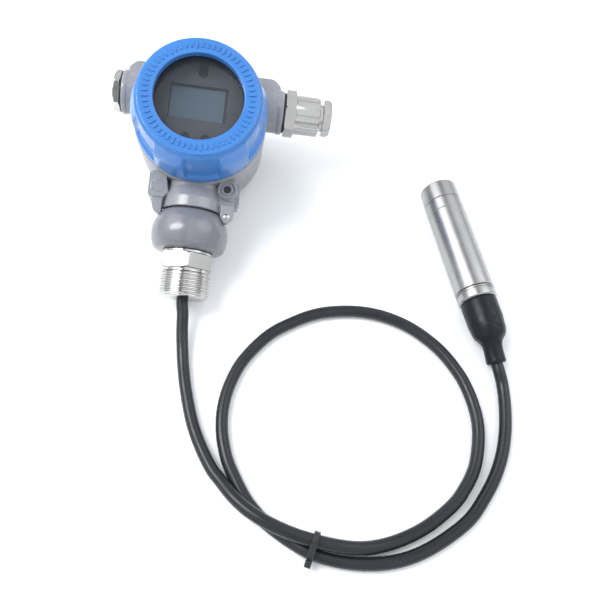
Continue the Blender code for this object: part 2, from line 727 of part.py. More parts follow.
def display():
    """The display module: bezel, liquid crystal panel, board, two keys, a screw and three posts."""
    bezel_rear = BEZEL_FRONT - BEZEL_THICKNESS
    disc = cylinder_outline(BEZEL_RADIUS, bezel_rear, BEZEL_FRONT)
    bezel = turned("display_bezel", disc, 40, BEZEL_GREY, head, turn(3.7, "Z"))
    above = BEZEL_FRONT + MM
    opening = rectangle(*LCD_WINDOW, LCD_CENTRE)
    join(bezel, extruded("lcd_opening", opening, bezel_rear - MM, above, None, head), "DIFFERENCE")
    screw_x, screw_y = POST_PLACES[0]
    slot_end = BEZEL_RADIUS + MM
    slot = [(screw_x - SLOT_WIDTH / 2, slot_end)]
    for step in range(9):
        angle = math.pi + math.pi * step / 8
        slot.append((screw_x + SLOT_WIDTH / 2 * math.cos(angle), screw_y + SLOT_WIDTH / 2 * math.sin(angle)))
    slot.append((screw_x + SLOT_WIDTH / 2, slot_end))
    join(bezel, extruded("screw_slot", slot, bezel_rear - MM, above, None, head), "DIFFERENCE")
    key_foot = DISPLAY_BOARD_TOP + KEY_TRAVEL + GAP
    for name, (x, y) in zip(("key_left", "key_right"), KEY_PLACES):
        hole = cylinder_outline(KEY_RADIUS + GAP, bezel_rear - MM, above)
        join(bezel, turned(f"{name}_hole", hole, 20, None, head, place_at(x, y, 0)), "DIFFERENCE")
        top = BEZEL_FRONT + KEY_STAND
        pin = [
            (0, key_foot),
            (KEY_RADIUS, key_foot),
            (KEY_RADIUS, top - 0.4 * MM),
            (KEY_RADIUS - 0.4 * MM, top),
            (0, top),
        ]
        turned(name, pin, 20, BLACK_RUBBER, head, place_at(x, y, 0))
    panel = rectangle(LCD_WINDOW[0] + 2 * LCD_BORDER, LCD_WINDOW[1] + 2 * LCD_BORDER, LCD_CENTRE)
    extruded("lcd_panel", panel, LCD_REAR, LCD_FRONT, LCD_GREY, head)
    board_rear = DISPLAY_BOARD_TOP - BOARD_THICKNESS
    disc = cylinder_outline(DISPLAY_BOARD_RADIUS, board_rear, DISPLAY_BOARD_TOP)
    board = turned("display_board", disc, 32, BOARD_GREEN, head)
    hole_radius = DISPLAY_SCREW_SHANK + GAP
    hole = cylinder_outline(hole_radius, board_rear - MM, DISPLAY_BOARD_TOP + MM)
    spot = place_at(screw_x, screw_y, 0)
    join(board, turned("display_screw_hole", hole, 16, None, head, spot), "DIFFERENCE")
    seat = DISPLAY_BOARD_TOP + GAP
    shank_end = board_rear - 6 * MM
    screw = [
        (0, shank_end),
        (DISPLAY_SCREW_SHANK, shank_end),
        (DISPLAY_SCREW_SHANK, seat),
        (DISPLAY_SCREW_HEAD, seat),
        (DISPLAY_SCREW_HEAD, seat + 1.8 * MM),
        (DISPLAY_SCREW_HEAD - 0.7 * MM, seat + 2.3 * MM),
        (0, seat + 2.3 * MM),
    ]
    turned("display_screw", screw, 16, STEEL, head, spot)
    top = board_rear - GAP
    foot = TERMINAL_BOARD_TOP + GAP
    solid = cylinder_outline(POST_RADIUS, foot, top)
    bored = [
        (0, foot),
        (POST_RADIUS, foot),
        (POST_RADIUS, top),
        (hole_radius, top),
        (hole_radius, shank_end - GAP),
        (0, shank_end - GAP),
    ]
    for number, (x, y) in enumerate(POST_PLACES, 1):
        turned(f"display_post_{number}", bored if number == 1 else solid, 12, BRASS, head, place_at(x, y, 0))


def terminals():
    """The terminal board on its standoffs, with the terminal block, its screws and the cable's two wires."""
    rear = TERMINAL_BOARD_TOP - BOARD_THICKNESS
    disc = cylinder_outline(TERMINAL_BOARD_RADIUS, rear, TERMINAL_BOARD_TOP)
    turned("terminal_board", disc, 32, BOARD_GREEN, head)
    pillar = cylinder_outline(STANDOFF_RADIUS, CHAMBER_FLOOR + GAP, rear - GAP)
    for number, (x, y) in enumerate(STANDOFF_PLACES, 1):
        turned(f"board_standoff_{number}", pillar, 12, BRASS, head, place_at(x, y, 0))
    width, depth, height = BLOCK_SIZE
    foot = TERMINAL_BOARD_TOP + GAP
    top = foot + height
    block = extruded("terminal_block", rectangle(width, depth, BLOCK_PLACE), foot, top, WHITE_PLASTIC, head)
    pocket = top - TERMINAL_SCREW_LENGTH - GAP
    radius = TERMINAL_SCREW_RADIUS + GAP
    for number in (1, 2, 3):
        place = place_at(BLOCK_PLACE[0] + (number - 2) * TERMINAL_PITCH, BLOCK_PLACE[1], 0)
        hole = cylinder_outline(radius, pocket, top + MM)
        join(block, turned(f"terminal_hole_{number}", hole, 16, None, head, place), "DIFFERENCE")
        screw = cylinder_outline(TERMINAL_SCREW_RADIUS, pocket + GAP, top - 0.5 * MM)
        turned(f"terminal_screw_{number}", screw, 16, STEEL, head, place)
    near = BLOCK_PLACE[1] - depth / 2 - GAP
    start = -(SEAL_FRONT - GAP)
    for name, side, look in (("signal_wire_red", 1, RED_WIRE), ("signal_wire_black", -1, BLACK_RUBBER)):
        way = [
            (side * 2.0 * MM, start, 0),
            (side * 2.2 * MM, -BALL_CENTRE, 0),
            (side * 2.6 * MM, -(BODY_RADIUS + 8.6 * MM), 0.6 * MM),
            (side * 3.4 * MM, -(CHAMBER_RADIUS + 1.5 * MM), 1.0 * MM),
            (side * 4.0 * MM, -(CHAMBER_RADIUS - 10.5 * MM), -0.5 * MM),
            (side * 4.4 * MM, near - 6.7 * MM, -3.2 * MM),
            (side * 4.5 * MM, near, -4.5 * MM),
        ]
        tube(name, smooth_route(way, 9 * MM), WIRE_RADIUS, 1, look, head)


def neck_parts():
    """What is screwed below the neck: gasket, ball adapter, steel ring, threaded fitting and cable seal."""
    seam = ring_outline(BALL_BORE_RADIUS, NECK_RADIUS - 0.7 * MM, NECK_END + GAP, BALL_START - GAP)
    turned("neck_gasket", seam, 32, BLACK_RUBBER, head, TO_NECK)
    outline = [(BALL_BORE_RADIUS, BALL_START)]
    for step in range(8):
        along = BALL_START + (BALL_LENGTH - 2.6 * MM) * step / 7
        outline.append((BALL_RADIUS * math.sqrt(1 - ((along - BALL_CENTRE) / BALL_HALF_HEIGHT) ** 2), along))
    outline += [
        (outline[-1][0] - 1.1 * MM, BALL_END - 0.9 * MM),
        (BALL_FOOT_RADIUS, BALL_END),
        (BALL_BORE_RADIUS, BALL_END),
    ]
    turned("ball_adapter", outline, 30, GREY, head, TO_NECK)
    ring = ring_outline(BALL_BORE_RADIUS, RING_RADIUS, RING_START, RING_START + RING_THICKNESS, 0.3 * MM)
    turned("steel_ring", ring, 24, STEEL, head, TO_NECK)
    shank = BALL_BORE_RADIUS - GAP
    corner = FITTING_FLATS / 2 + 1.5 * MM
    edge = 0.9 * MM
    outline = [
        (CABLE_BORE_RADIUS, FITTING_END),
        (CABLE_BORE_RADIUS, SEAL_STEP),
        (SEAL_POCKET_RADIUS, SEAL_STEP),
        (SEAL_POCKET_RADIUS, HEX_START - FITTING_SHANK),
        (shank, HEX_START - FITTING_SHANK),
        (shank, HEX_START),
        (hexagon(FITTING_FLATS, corner), HEX_START),
        (hexagon(FITTING_FLATS), HEX_START + edge),
        (hexagon(FITTING_FLATS), GROOVE_START - edge),
        (hexagon(FITTING_FLATS, corner), GROOVE_START),
        (GROOVE_RADIUS, GROOVE_START),
        (GROOVE_RADIUS, THREAD_START),
        (THREAD_RADIUS - 1.3 * MM, THREAD_START),
        (THREAD_RADIUS, THREAD_START + 1.1 * MM),
        (THREAD_RADIUS, FITTING_END - 1.1 * MM),
        (THREAD_RADIUS - 1.3 * MM, FITTING_END),
    ]
    turned("threaded_fitting", outline, 24, STEEL, head, TO_NECK @ turn(FITTING_TURN, "Z"))
    seal = cylinder_outline(SEAL_POCKET_RADIUS - GAP, SEAL_FRONT, SEAL_STEP - GAP)
    turned("cable_seal", seal, 24, BLACK_RUBBER, head, TO_NECK)
    clamp_low = SEAL_FRONT - GAP - CLAMP_LENGTH
    clamp = ring_outline(CABLE_BORE_RADIUS, SEAL_POCKET_RADIUS - GAP, clamp_low, SEAL_FRONT - GAP)
    turned("cable_clamp_screw", clamp, 24, BRASS, head, TO_NECK)
    low = BOSS_FRONT - 6 * MM
    front = TAG_FRONT + GAP
    rivet = [
        (0, low),
        (RIVET_RADIUS, low),
        (RIVET_RADIUS, front),
        (RIVET_HEAD_RADIUS, front),
        (RIVET_HEAD_RADIUS - 0.2 * MM, front + RIVET_HEAD),
        (0, front + RIVET_HEAD),
    ]
    turned("tag_rivet", rivet, 12, STEEL, head, place_at(*TAG_PLACE, 0))


def entry_parts():
    """The blind plug with its gasket on the left, and the empty cable gland on the right."""
    gasket_low = ENTRY_END + GAP
    face = gasket_low + ENTRY_GASKET_THICKNESS + GAP
    gasket = ring_outline(ENTRY_THREAD_RADIUS + GAP, ENTRY_RADIUS - 0.6 * MM, gasket_low, face - GAP)
    turned("plug_gasket", gasket, 24, BLACK_RUBBER, head, LEFT_ENTRY)
    turned("gland_gasket", gasket, 24, BLACK_RUBBER, head, RIGHT_ENTRY)
    stub = ENTRY_END - PLUG_ENGAGED
    outer = face + PLUG_HEAD
    edge = 0.9 * MM
    plug = [
        (0, stub),
        (ENTRY_THREAD_RADIUS - edge, stub),
        (ENTRY_THREAD_RADIUS, stub + edge),
        (ENTRY_THREAD_RADIUS, face),
        (hexagon(PLUG_FLATS, PLUG_FLATS / 2 + 1.2 * MM), face),
        (hexagon(PLUG_FLATS), face + edge / 2),
        (hexagon(PLUG_FLATS), outer - edge),
        (hexagon(PLUG_FLATS, PLUG_FLATS / 2 + 0.1 * MM), outer),
        (0, outer),
    ]
    turned("blind_plug", plug, 24, STEEL, head, LEFT_ENTRY @ turn(HEX_TURN, "Z"))
    hex_end = face + GLAND_HEX
    barrel_end = hex_end + BARREL_LENGTH
    seat = barrel_end - NUT_ENGAGED - 3 * GAP - DISC_THICKNESS - WASHER_THICKNESS - GLAND_SEAL_LENGTH - GAP
    body = [
        (GLAND_BORE_RADIUS, ENTRY_END - GLAND_THREAD),
        (ENTRY_THREAD_RADIUS - edge, ENTRY_END - GLAND_THREAD),
        (ENTRY_THREAD_RADIUS, ENTRY_END - GLAND_THREAD + edge),
        (ENTRY_THREAD_RADIUS, face),
        (hexagon(GLAND_FLATS, GLAND_FLATS / 2 + 1.4 * MM), face),
        (hexagon(GLAND_FLATS), face + edge),
        (hexagon(GLAND_FLATS), hex_end - edge),
        (hexagon(GLAND_FLATS, GLAND_FLATS / 2 + 1.4 * MM), hex_end),
        (flutes, hex_end),
        (flutes, barrel_end - edge / 2),
        (BARREL_RADIUS - FLUTE_DEPTH - edge / 2, barrel_end),
        (GLAND_CORE_RADIUS, barrel_end),
        (GLAND_CORE_RADIUS, seat),
        (GLAND_BORE_RADIUS, seat),
    ]
    turned("gland_body", body, 36, STEEL, head, RIGHT_ENTRY @ turn(HEX_TURN, "Z"))
    fit = GLAND_CORE_RADIUS - GAP
    low = seat + GAP
    high = low + GLAND_SEAL_LENGTH
    seal = ring_outline(GLAND_BORE_RADIUS - 2 * MM, fit, low, high)
    turned("gland_seal", seal, 24, BLACK_RUBBER, head, RIGHT_ENTRY)
    low = high + GAP
    high = low + DISC_THICKNESS
    turned("gland_blanking_disc", cylinder_outline(fit, low, high), 24, STEEL, head, RIGHT_ENTRY)
    low = high + GAP
    high = low + WASHER_THICKNESS
    washer = ring_outline(GLAND_BORE_RADIUS, fit, low, high)
    turned("gland_thrust_washer", washer, 24, BRASS, head, RIGHT_ENTRY)
    low = high + GAP
    nut_face = barrel_end + NUT_NECK
    nut_end = nut_face + NUT_HEAD
    nut = [
        (GLAND_BORE_RADIUS, low),
        (fit - edge / 2, low),
        (fit, low + edge / 2),
        (fit, nut_face),
        (hexagon(NUT_FLATS, NUT_FLATS / 2 + 0.8 * MM), nut_face),
        (hexagon(NUT_FLATS), nut_face + edge / 2),
        (hexagon(NUT_FLATS), nut_end - edge),
        (hexagon(NUT_FLATS, NUT_FLATS / 2 + 0.1 * MM), nut_end),
        (GLAND_BORE_RADIUS + edge, nut_end),
        (GLAND_BORE_RADIUS, nut_end - edge),
    ]
    turned("gland_nut", nut, 24, STEEL, head, RIGHT_ENTRY @ turn(HEX_TURN, "Z"))


def flutes(angle):
    """The gland barrel's radius by angle: flat-bottomed flutes between ribs."""
    phase = angle * FLUTE_COUNT / math.tau
    return BARREL_RADIUS - (FLUTE_DEPTH if abs(phase - round(phase)) < 0.2 else 0.0)


def probe():
    """The probe: nose cap, sensor capsule, tube, board and collar on one axis that lies along the table."""
    frame = place_at(*PROBE_NOSE_PLACE, PROBE_RADIUS) @ Matrix.Rotation(PROBE_HEADING, 4, "Z") @ TO_RIGHT
    edge = 1.0 * MM
    cup = NOSE_LENGTH - 3 * NOSE_WALL
    nose = [
        (0, 0),
        (PROBE_RADIUS - edge, 0),
        (PROBE_RADIUS, edge),
        (PROBE_RADIUS, NOSE_LENGTH - 0.3 * MM),
        (PROBE_RADIUS - 0.3 * MM, NOSE_LENGTH),
        (PROBE_RADIUS - NOSE_WALL, NOSE_LENGTH),
        (PROBE_RADIUS - NOSE_WALL, NOSE_LENGTH - cup),
        (0, NOSE_LENGTH - cup),
    ]
    cap = turned("probe_nose_cap", nose, 32, STEEL, None, frame @ turn(4.1, "Z"))
    for number in range(5):
        angle = math.tau * number / 4
        reach = 0.0 if number == 4 else PROBE_RADIUS * 0.5
        spot = place_at(reach * math.cos(angle), reach * math.sin(angle), 0)
        hole = cylinder_outline(NOSE_HOLE_RADIUS, -MM, NOSE_LENGTH)
        join(cap, turned(f"nose_hole_{number + 1}", hole, 12, None, None, frame @ spot), "DIFFERENCE")
    start = NOSE_LENGTH + GAP
    groove = start + TUBE_GROOVE
    end = start + TUBE_LENGTH
    depth = 0.25 * MM
    shell = [
        (TUBE_BORE_RADIUS, start),
        (PROBE_RADIUS - depth, start),
        (PROBE_RADIUS, start + depth),
        (PROBE_RADIUS, groove - depth),
        (PROBE_RADIUS - depth, groove),
        (PROBE_RADIUS, groove + depth),
        (PROBE_RADIUS, end - depth),
        (PROBE_RADIUS - depth, end),
        (TUBE_BORE_RADIUS, end),
    ]
    turned("probe_tube", shell, 32, STEEL, None, frame)
    fit = TUBE_BORE_RADIUS - GAP
    face = start + CAPSULE_FACE_GAP
    rear = face + CAPSULE_LENGTH
    ring_bed = fit - 2 * SENSOR_RING_SECTION - GAP
    ring_low = face + 4 * MM
    ring_high = ring_low + 2 * SENSOR_RING_SECTION + 2 * GAP
    capsule = [
        (0, face + 0.6 * MM),
        (fit - 2 * MM, face + 0.6 * MM),
        (fit - 1.6 * MM, face),
        (fit, face),
        (fit, ring_low),
        (ring_bed, ring_low),
        (ring_bed, ring_high),
        (fit, ring_high),
        (fit, rear),
        (0, rear),
    ]
    turned("sensor_capsule", capsule, 24, STEEL, None, frame)
    middle = (ring_low + ring_high) / 2
    ring = torus_outline(ring_bed + GAP + SENSOR_RING_SECTION, SENSOR_RING_SECTION, middle, 6)
    turned("sensor_seal_ring", ring, 24, BLACK_RUBBER, None, frame)
    collar_start = end + GAP
    collar_end = collar_start + COLLAR_LENGTH
    tail_end = collar_end + COLLAR_TAIL
    spigot = collar_start - COLLAR_SPIGOT
    collar = [
        (0, spigot + 3 * MM),
        (CABLE_BORE_RADIUS, spigot + 3 * MM),
        (CABLE_BORE_RADIUS, tail_end),
        (COLLAR_TAIL_RADIUS, tail_end),
        (COLLAR_TAIL_RADIUS, collar_end),
        (PROBE_RADIUS - edge, collar_end),
        (PROBE_RADIUS, collar_end - edge),
        (PROBE_RADIUS, collar_start + depth),
        (PROBE_RADIUS - depth, collar_start),
        (fit, collar_start),
        (fit, spigot),
        (0, spigot),
    ]
    turned("probe_collar", collar, 32, STEEL, None, frame)
    board = rectangle(PROBE_BOARD_WIDTH, BOARD_THICKNESS)
    extruded("probe_board", board, rear + GAP, spigot - GAP, BOARD_GREEN, None, frame)
    return frame, collar_end, tail_end


def boot_line(start, end):
    """How high the boot's and the cable's middle lies, by the place along the probe's axis."""

    def height(along):
        t = min(1.0, max(0.0, (along - start) / (end - start)))
        return PROBE_RADIUS + (BOOT_END_HEIGHT - PROBE_RADIUS) * t * t * (3 - 2 * t)

    return height


def boot(frame, collar_end, tail_end):
    """The shrunk rubber boot over the collar's tail, drawn down to the cable as it bends to the table."""
    start = collar_end + GAP
    end = start + BOOT_LENGTH
    height = boot_line(tail_end + 1 * MM, end + 6 * MM)
    shape = (
        (0.0, 0.3 * MM),
        (0.06, 0.0),
        (0.2, 0.1 * MM),
        (0.38, 0.0),
        (0.5, 0.4 * MM),
        (0.6, 1.5 * MM),
        (0.7, 2.7 * MM),
        (0.8, 4.3 * MM),
        (0.86, 5.3 * MM),
        (0.93, 6.5 * MM),
        (1.0, BOOT_RADIUS - BOOT_END_RADIUS),
    )
    sides = 16
    bm = bmesh.new()
    rings = []
    for inside in (False, True):
        for share, taper in reversed(shape) if inside else shape:
            along = start + BOOT_LENGTH * share
            radius = BOOT_RADIUS - taper
            if inside:
                radius = max(radius - BOOT_WALL, CABLE_BORE_RADIUS)
                if along < tail_end + 1.5 * MM:
                    radius = max(radius, COLLAR_TAIL_RADIUS + GAP)
            drop = height(along) - PROBE_RADIUS
            slope = math.atan2(height(along + MM) - height(along - MM), 2 * MM)
            ring = []
            for step in range(sides):
                angle = math.tau * step / sides
                rise = radius * math.sin(angle)
                down = -rise * math.cos(slope) - drop
                ring.append(bm.verts.new((down, radius * math.cos(angle), along - rise * math.sin(slope))))
            rings.append(ring)
    for low, high in zip(rings, rings[1:] + rings[:1]):
        for step in range(sides):
            after = (step + 1) % sides
            bm.faces.new((low[step], low[after], high[after], high[step]))
    finish("probe_boot", bm, BOOT_BLACK, None, frame)
    return height, end


def cable(frame, tail_end, height, boot_end):
    """The cable: up the fitting's bore, along its route on the table and into the collar behind the probe."""
    bore_end = -(SEAL_STEP + 0.4 * MM)
    points = [head.matrix_world @ Vector((0, along, 0)) for along in (bore_end, -(FITTING_END + 2 * MM))]
    points += [Vector(point) * MM for point in CABLE_ROUTE]
    inside = [boot_end + step * MM for step in (4, -3, -10, -17)]
    inside += [tail_end - 4 * MM, tail_end - 14 * MM]
    points += [frame @ Vector((PROBE_RADIUS - height(along), 0, along)) for along in inside]
    tube("cable", smooth_route(points, CABLE_SPACING), CABLE_RADIUS, 3, CABLE_GREY)


def zip_tie():
    """The tie's band round the two runs of cable, with its square head and the stub of its tail."""
    inner = CABLE_RADIUS + 1.5 * GAP
    lean = math.atan2(TIE_RUNS[0][1] - TIE_RUNS[1][1], TIE_RUNS[0][0] - TIE_RUNS[1][0])
    loops = []
    for reach in (inner, inner + TIE_THICKNESS):
        loop = []
        for (across, up), base in zip(TIE_RUNS, (lean - math.pi / 2, lean + math.pi / 2)):
            for step in range(9):
                angle = base + math.pi * step / 8
                loop.append((across + reach * math.cos(angle), up + reach * math.sin(angle)))
        loops.append(loop)
    bm = bmesh.new()
    rings = []
    for loop, along in ((loops[0], -1), (loops[1], -1), (loops[1], 1), (loops[0], 1)):
        rings.append([bm.verts.new((along * TIE_WIDTH / 2, across, up)) for across, up in loop])
    count = len(loops[0])
    for low, high in zip(rings, rings[1:] + rings[:1]):
        for step in range(count):
            after = (step + 1) % count
            bm.faces.new((low[step], low[after], high[after], high[step]))
    place = place_at(*TIE_PLACE) @ Matrix.Rotation(TIE_HEADING, 4, "Z")
    band = finish("zip_tie", bm, BOOT_BLACK, None, place)
    length, depth, height = TIE_HEAD
    across = TIE_RUNS[1][0] - inner - TIE_THICKNESS - depth / 2 + 1.0 * MM
    outline = rectangle(length, depth, (0, across), 0.5 * MM)
    block = extruded("tie_head", outline, -height / 2, height / 2, None, None, place)
    block.location.z += TIE_RUNS[1][1] + 1.0 * MM
    join(band, block, "UNION")
    return band


housing()
cover()
display()
terminals()
neck_parts()
entry_parts()
probe_frame, collar_rear, tail_rear = probe()
line, boot_rear = boot(probe_frame, collar_rear, tail_rear)
cable(probe_frame, tail_rear, line, boot_rear)
zip_tie()
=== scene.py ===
"""Looks of a submersible level transmitter: a display head, a cable tied in one loop and a steel probe.

Units are metres and +Z is up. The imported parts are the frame. This script adds finished surfaces, the smooth
cable, soft studio light and the camera that matches the photograph.
"""

import math

import bmesh
import bpy
from mathutils import Matrix, Vector, noise


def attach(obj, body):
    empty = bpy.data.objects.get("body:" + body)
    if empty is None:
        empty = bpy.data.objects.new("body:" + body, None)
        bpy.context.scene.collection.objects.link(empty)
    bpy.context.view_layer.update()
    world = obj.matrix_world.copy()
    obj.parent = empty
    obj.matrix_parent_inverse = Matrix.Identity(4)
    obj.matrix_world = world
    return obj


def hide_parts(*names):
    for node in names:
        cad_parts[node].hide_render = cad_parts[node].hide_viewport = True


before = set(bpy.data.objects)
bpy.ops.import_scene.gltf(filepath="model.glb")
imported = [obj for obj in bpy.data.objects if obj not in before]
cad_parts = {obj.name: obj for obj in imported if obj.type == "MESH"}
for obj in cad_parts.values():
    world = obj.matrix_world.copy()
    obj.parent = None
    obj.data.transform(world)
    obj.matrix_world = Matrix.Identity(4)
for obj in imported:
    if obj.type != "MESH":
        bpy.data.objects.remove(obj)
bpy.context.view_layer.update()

MM = 0.001

# Places of the head and the probe, as in part.py
HEAD_PLACE = (-76.15 * MM, 43.6 * MM, 52.653 * MM)
HEAD_TILT = math.radians(18.427)
HEAD_ROLL = math.radians(8.2)
PROBE_PLACE = (93.05 * MM, 37.9 * MM, 13.0 * MM)
PROBE_HEADING = math.radians(-73.45)
PROBE_RADIUS = 13.0
ENTRY_OFFSET = 19.4 * MM

HEAD = (
    Matrix.Translation(HEAD_PLACE)
    @ Matrix.Rotation(HEAD_TILT, 4, "X")
    @ Matrix.Rotation(HEAD_ROLL, 4, "Y")
)
NECK = HEAD @ Matrix.Rotation(math.radians(90), 4, "X")
RIGHT_ENTRY = HEAD @ Matrix.Translation((0, ENTRY_OFFSET, 0)) @ Matrix.Rotation(math.radians(90), 4, "Y")
LEFT_ENTRY = HEAD @ Matrix.Translation((0, ENTRY_OFFSET, 0)) @ Matrix.Rotation(math.radians(-90), 4, "Y")
PROBE = (
    Matrix.Translation(PROBE_PLACE)
    @ Matrix.Rotation(PROBE_HEADING, 4, "Z")
    @ Matrix.Rotation(math.radians(90), 4, "Y")
)

# Camera fitted to the photograph
CAMERA_DISTANCE = 437.34 * MM
CAMERA_ANGLE = math.radians(26.14)
CAMERA_ROLL = math.radians(1.238)
CAMERA_TURN = math.radians(3.94)
CAMERA_AIM = (0.69 * MM, -53.93 * MM, 0.0)
CAMERA_LENS = 38.14
CAMERA_SENSOR = 36.0

CABLE_RADIUS = 3.9 * MM
CABLE_ROUTE = (
    (-74.95, -76.60, 12.5),
    (-74.35, -83.90, 10.1),
    (-73.55, -91.40, 7.7),
    (-72.15, -100.20, 5.4),
    (-70.25, -109.80, 4.1),
    (-66.05, -125.20, 3.95),
    (-59.05, -145.00, 3.95),
    (-51.75, -159.40, 3.95),
    (-42.65, -173.10, 4.5),
    (-35.15, -180.80, 6.0),
    (-27.65, -188.20, 8.7),
    (-18.95, -194.90, 11.2),
    (-11.15, -199.30, 12.3),
    (-3.45, -202.70, 12.5),
    (9.45, -206.80, 12.3),
    (22.35, -209.20, 10.9),
    (35.15, -210.70, 9.7),
    (48.25, -210.60, 7.4),
    (61.25, -207.90, 5.1),
    (74.35, -202.60, 4.0),
    (87.65, -194.70, 3.95),
    (101.05, -183.10, 3.95),
    (108.55, -173.50, 3.95),
    (115.85, -158.70, 3.95),
    (118.75, -141.40, 3.95),
    (118.15, -127.20, 3.95),
    (113.95, -112.20, 3.95),
    (106.75, -98.00, 3.95),
    (94.05, -82.70, 3.95),
    (75.55, -69.50, 3.95),
    (55.45, -62.40, 3.95),
    (35.15, -61.10, 3.95),
    (13.75, -65.00, 3.95),
    (-4.35, -74.00, 3.95),
    (-18.45, -84.60, 3.95),
    (-31.95, -102.50, 3.95),
    (-38.45, -119.50, 3.95),
    (-40.65, -135.60, 3.95),
    (-39.15, -150.70, 3.95),
    (-34.65, -165.10, 3.95),
    (-29.25, -175.20, 3.95),
    (-20.45, -188.20, 3.95),
    (-12.55, -196.40, 3.95),
    (-4.65, -202.40, 3.95),
    (8.25, -209.80, 4.4),
    (21.85, -215.60, 5.55),
    (35.55, -218.00, 4.7),
    (48.65, -218.50, 3.95),
    (61.65, -217.30, 3.95),
    (74.55, -213.90, 3.95),
    (87.65, -207.70, 3.95),
    (100.85, -198.70, 3.95),
    (111.75, -189.20, 3.95),
    (118.65, -179.80, 3.95),
    (126.95, -165.20, 3.95),
    (132.55, -150.30, 3.95),
    (135.45, -135.20, 3.95),
    (136.25, -119.80, 3.95),
    (135.35, -105.20, 4.3),
)


def first_look():
    """The camera at the photograph's place and angle."""
    turned = Matrix.Rotation(CAMERA_TURN, 3, "Z")
    place = turned @ Vector((0, -math.sin(CAMERA_ANGLE), math.cos(CAMERA_ANGLE))) * CAMERA_DISTANCE
    ahead = -place.normalized()
    across = turned @ Vector((1, 0, 0))
    above = across.cross(ahead)
    right = math.cos(CAMERA_ROLL) * across + math.sin(CAMERA_ROLL) * above
    up = -math.sin(CAMERA_ROLL) * across + math.cos(CAMERA_ROLL) * above
    camera = bpy.data.objects.new("camera", bpy.data.cameras.new("camera"))
    bpy.context.scene.collection.objects.link(camera)
    pose = Matrix((right, up, -ahead)).transposed().to_4x4()
    pose.translation = place + Vector(CAMERA_AIM)
    camera.matrix_world = pose
    camera.data.sensor_width = CAMERA_SENSOR
    camera.data.lens = CAMERA_LENS
    camera.data.clip_start = 0.01
    bpy.context.scene.camera = camera


first_look()


class Graph:
    """Short ways to add shader nodes."""

    def __init__(self, name):
        self.material = bpy.data.materials.new(name)
        self.material.use_nodes = True
        self.nodes = self.material.node_tree.nodes
        self.links = self.material.node_tree.links
        self.shader = self.nodes["Principled BSDF"]
        self.place = self.nodes.new("ShaderNodeTexCoord").outputs["Object"]

    def stretched(self, scale):
        node = self.nodes.new("ShaderNodeMapping")
        node.inputs["Scale"].default_value = scale
        self.links.new(self.place, node.inputs["Vector"])
        return node.outputs["Vector"]

    def noise(self, scale, detail=3.0, rough=0.5, place=None):
        node = self.nodes.new("ShaderNodeTexNoise")
        node.inputs["Scale"].default_value = scale
        node.inputs["Detail"].default_value = detail
        node.inputs["Roughness"].default_value = rough
        self.links.new(place or self.place, node.inputs["Vector"])
        return node.outputs["Fac"]

    def span(self, value, low, high, start=0.3, stop=0.7):
        node = self.nodes.new("ShaderNodeMapRange")
        node.inputs["From Min"].default_value = start
        node.inputs["From Max"].default_value = stop
        node.inputs["To Min"].default_value = low
        node.inputs["To Max"].default_value = high
        self.links.new(value, node.inputs["Value"])
        return node.outputs["Result"]

    def blend(self, value, low, high):
        node = self.nodes.new("ShaderNodeMix")
        node.data_type = "RGBA"
        self.links.new(value, node.inputs[0])
        for socket, colour in ((node.inputs[6], low), (node.inputs[7], high)):
            if isinstance(colour, tuple):
                socket.default_value = (*colour, 1.0)
            else:
                self.links.new(colour, socket)
        return node.outputs[2]

    def bump(self, value, strength, depth):
        node = self.nodes.new("ShaderNodeBump")
        node.inputs["Strength"].default_value = strength
        node.inputs["Distance"].default_value = depth
        self.links.new(value, node.inputs["Height"])
        return node.outputs["Normal"]

    def set(self, socket, value):
        target = self.shader.inputs[socket]
        if isinstance(value, (int, float)):
            target.default_value = value
        else:
            self.links.new(value, target)


# Depth of every finish's bump, and the roughness of a clear coat
GRAIN_DEPTH = 0.05 * MM
COAT_ROUGHNESS = 0.08


def scaled(colour, amount):
    return tuple(min(1.0, channel * amount) for channel in colour)


def finish_of(
    name, colour, rough, metal=0.0, vary=0.08, patch=60.0, grain=900.0, bump=0.15, stretch=None, coat=0.0,
    gloss=0.5,
):
    """A painted, moulded or machined finish: slow colour patches, wandering roughness and a fine grain."""
    graph = Graph(name)
    graph.set("Specular IOR Level", gloss)
    slow = graph.noise(patch, 3.0)
    tone = graph.blend(graph.span(slow, 0.0, 1.0), scaled(colour, 1 - vary), scaled(colour, 1 + vary))
    graph.set("Base Color", tone)
    wander = graph.noise(patch * 2.3, 4.0, 0.6)
    graph.set("Roughness", graph.span(wander, max(0.02, rough * 0.85), min(1.0, rough * 1.15)))
    graph.set("Metallic", metal)
    place = graph.stretched(stretch) if stretch else None
    fine = graph.noise(grain, 4.0, 0.55, place)
    graph.set("Normal", graph.bump(fine, bump, GRAIN_DEPTH))
    if coat:
        graph.set("Coat Weight", coat)
        graph.set("Coat Roughness", COAT_ROUGHNESS)
    return graph.material


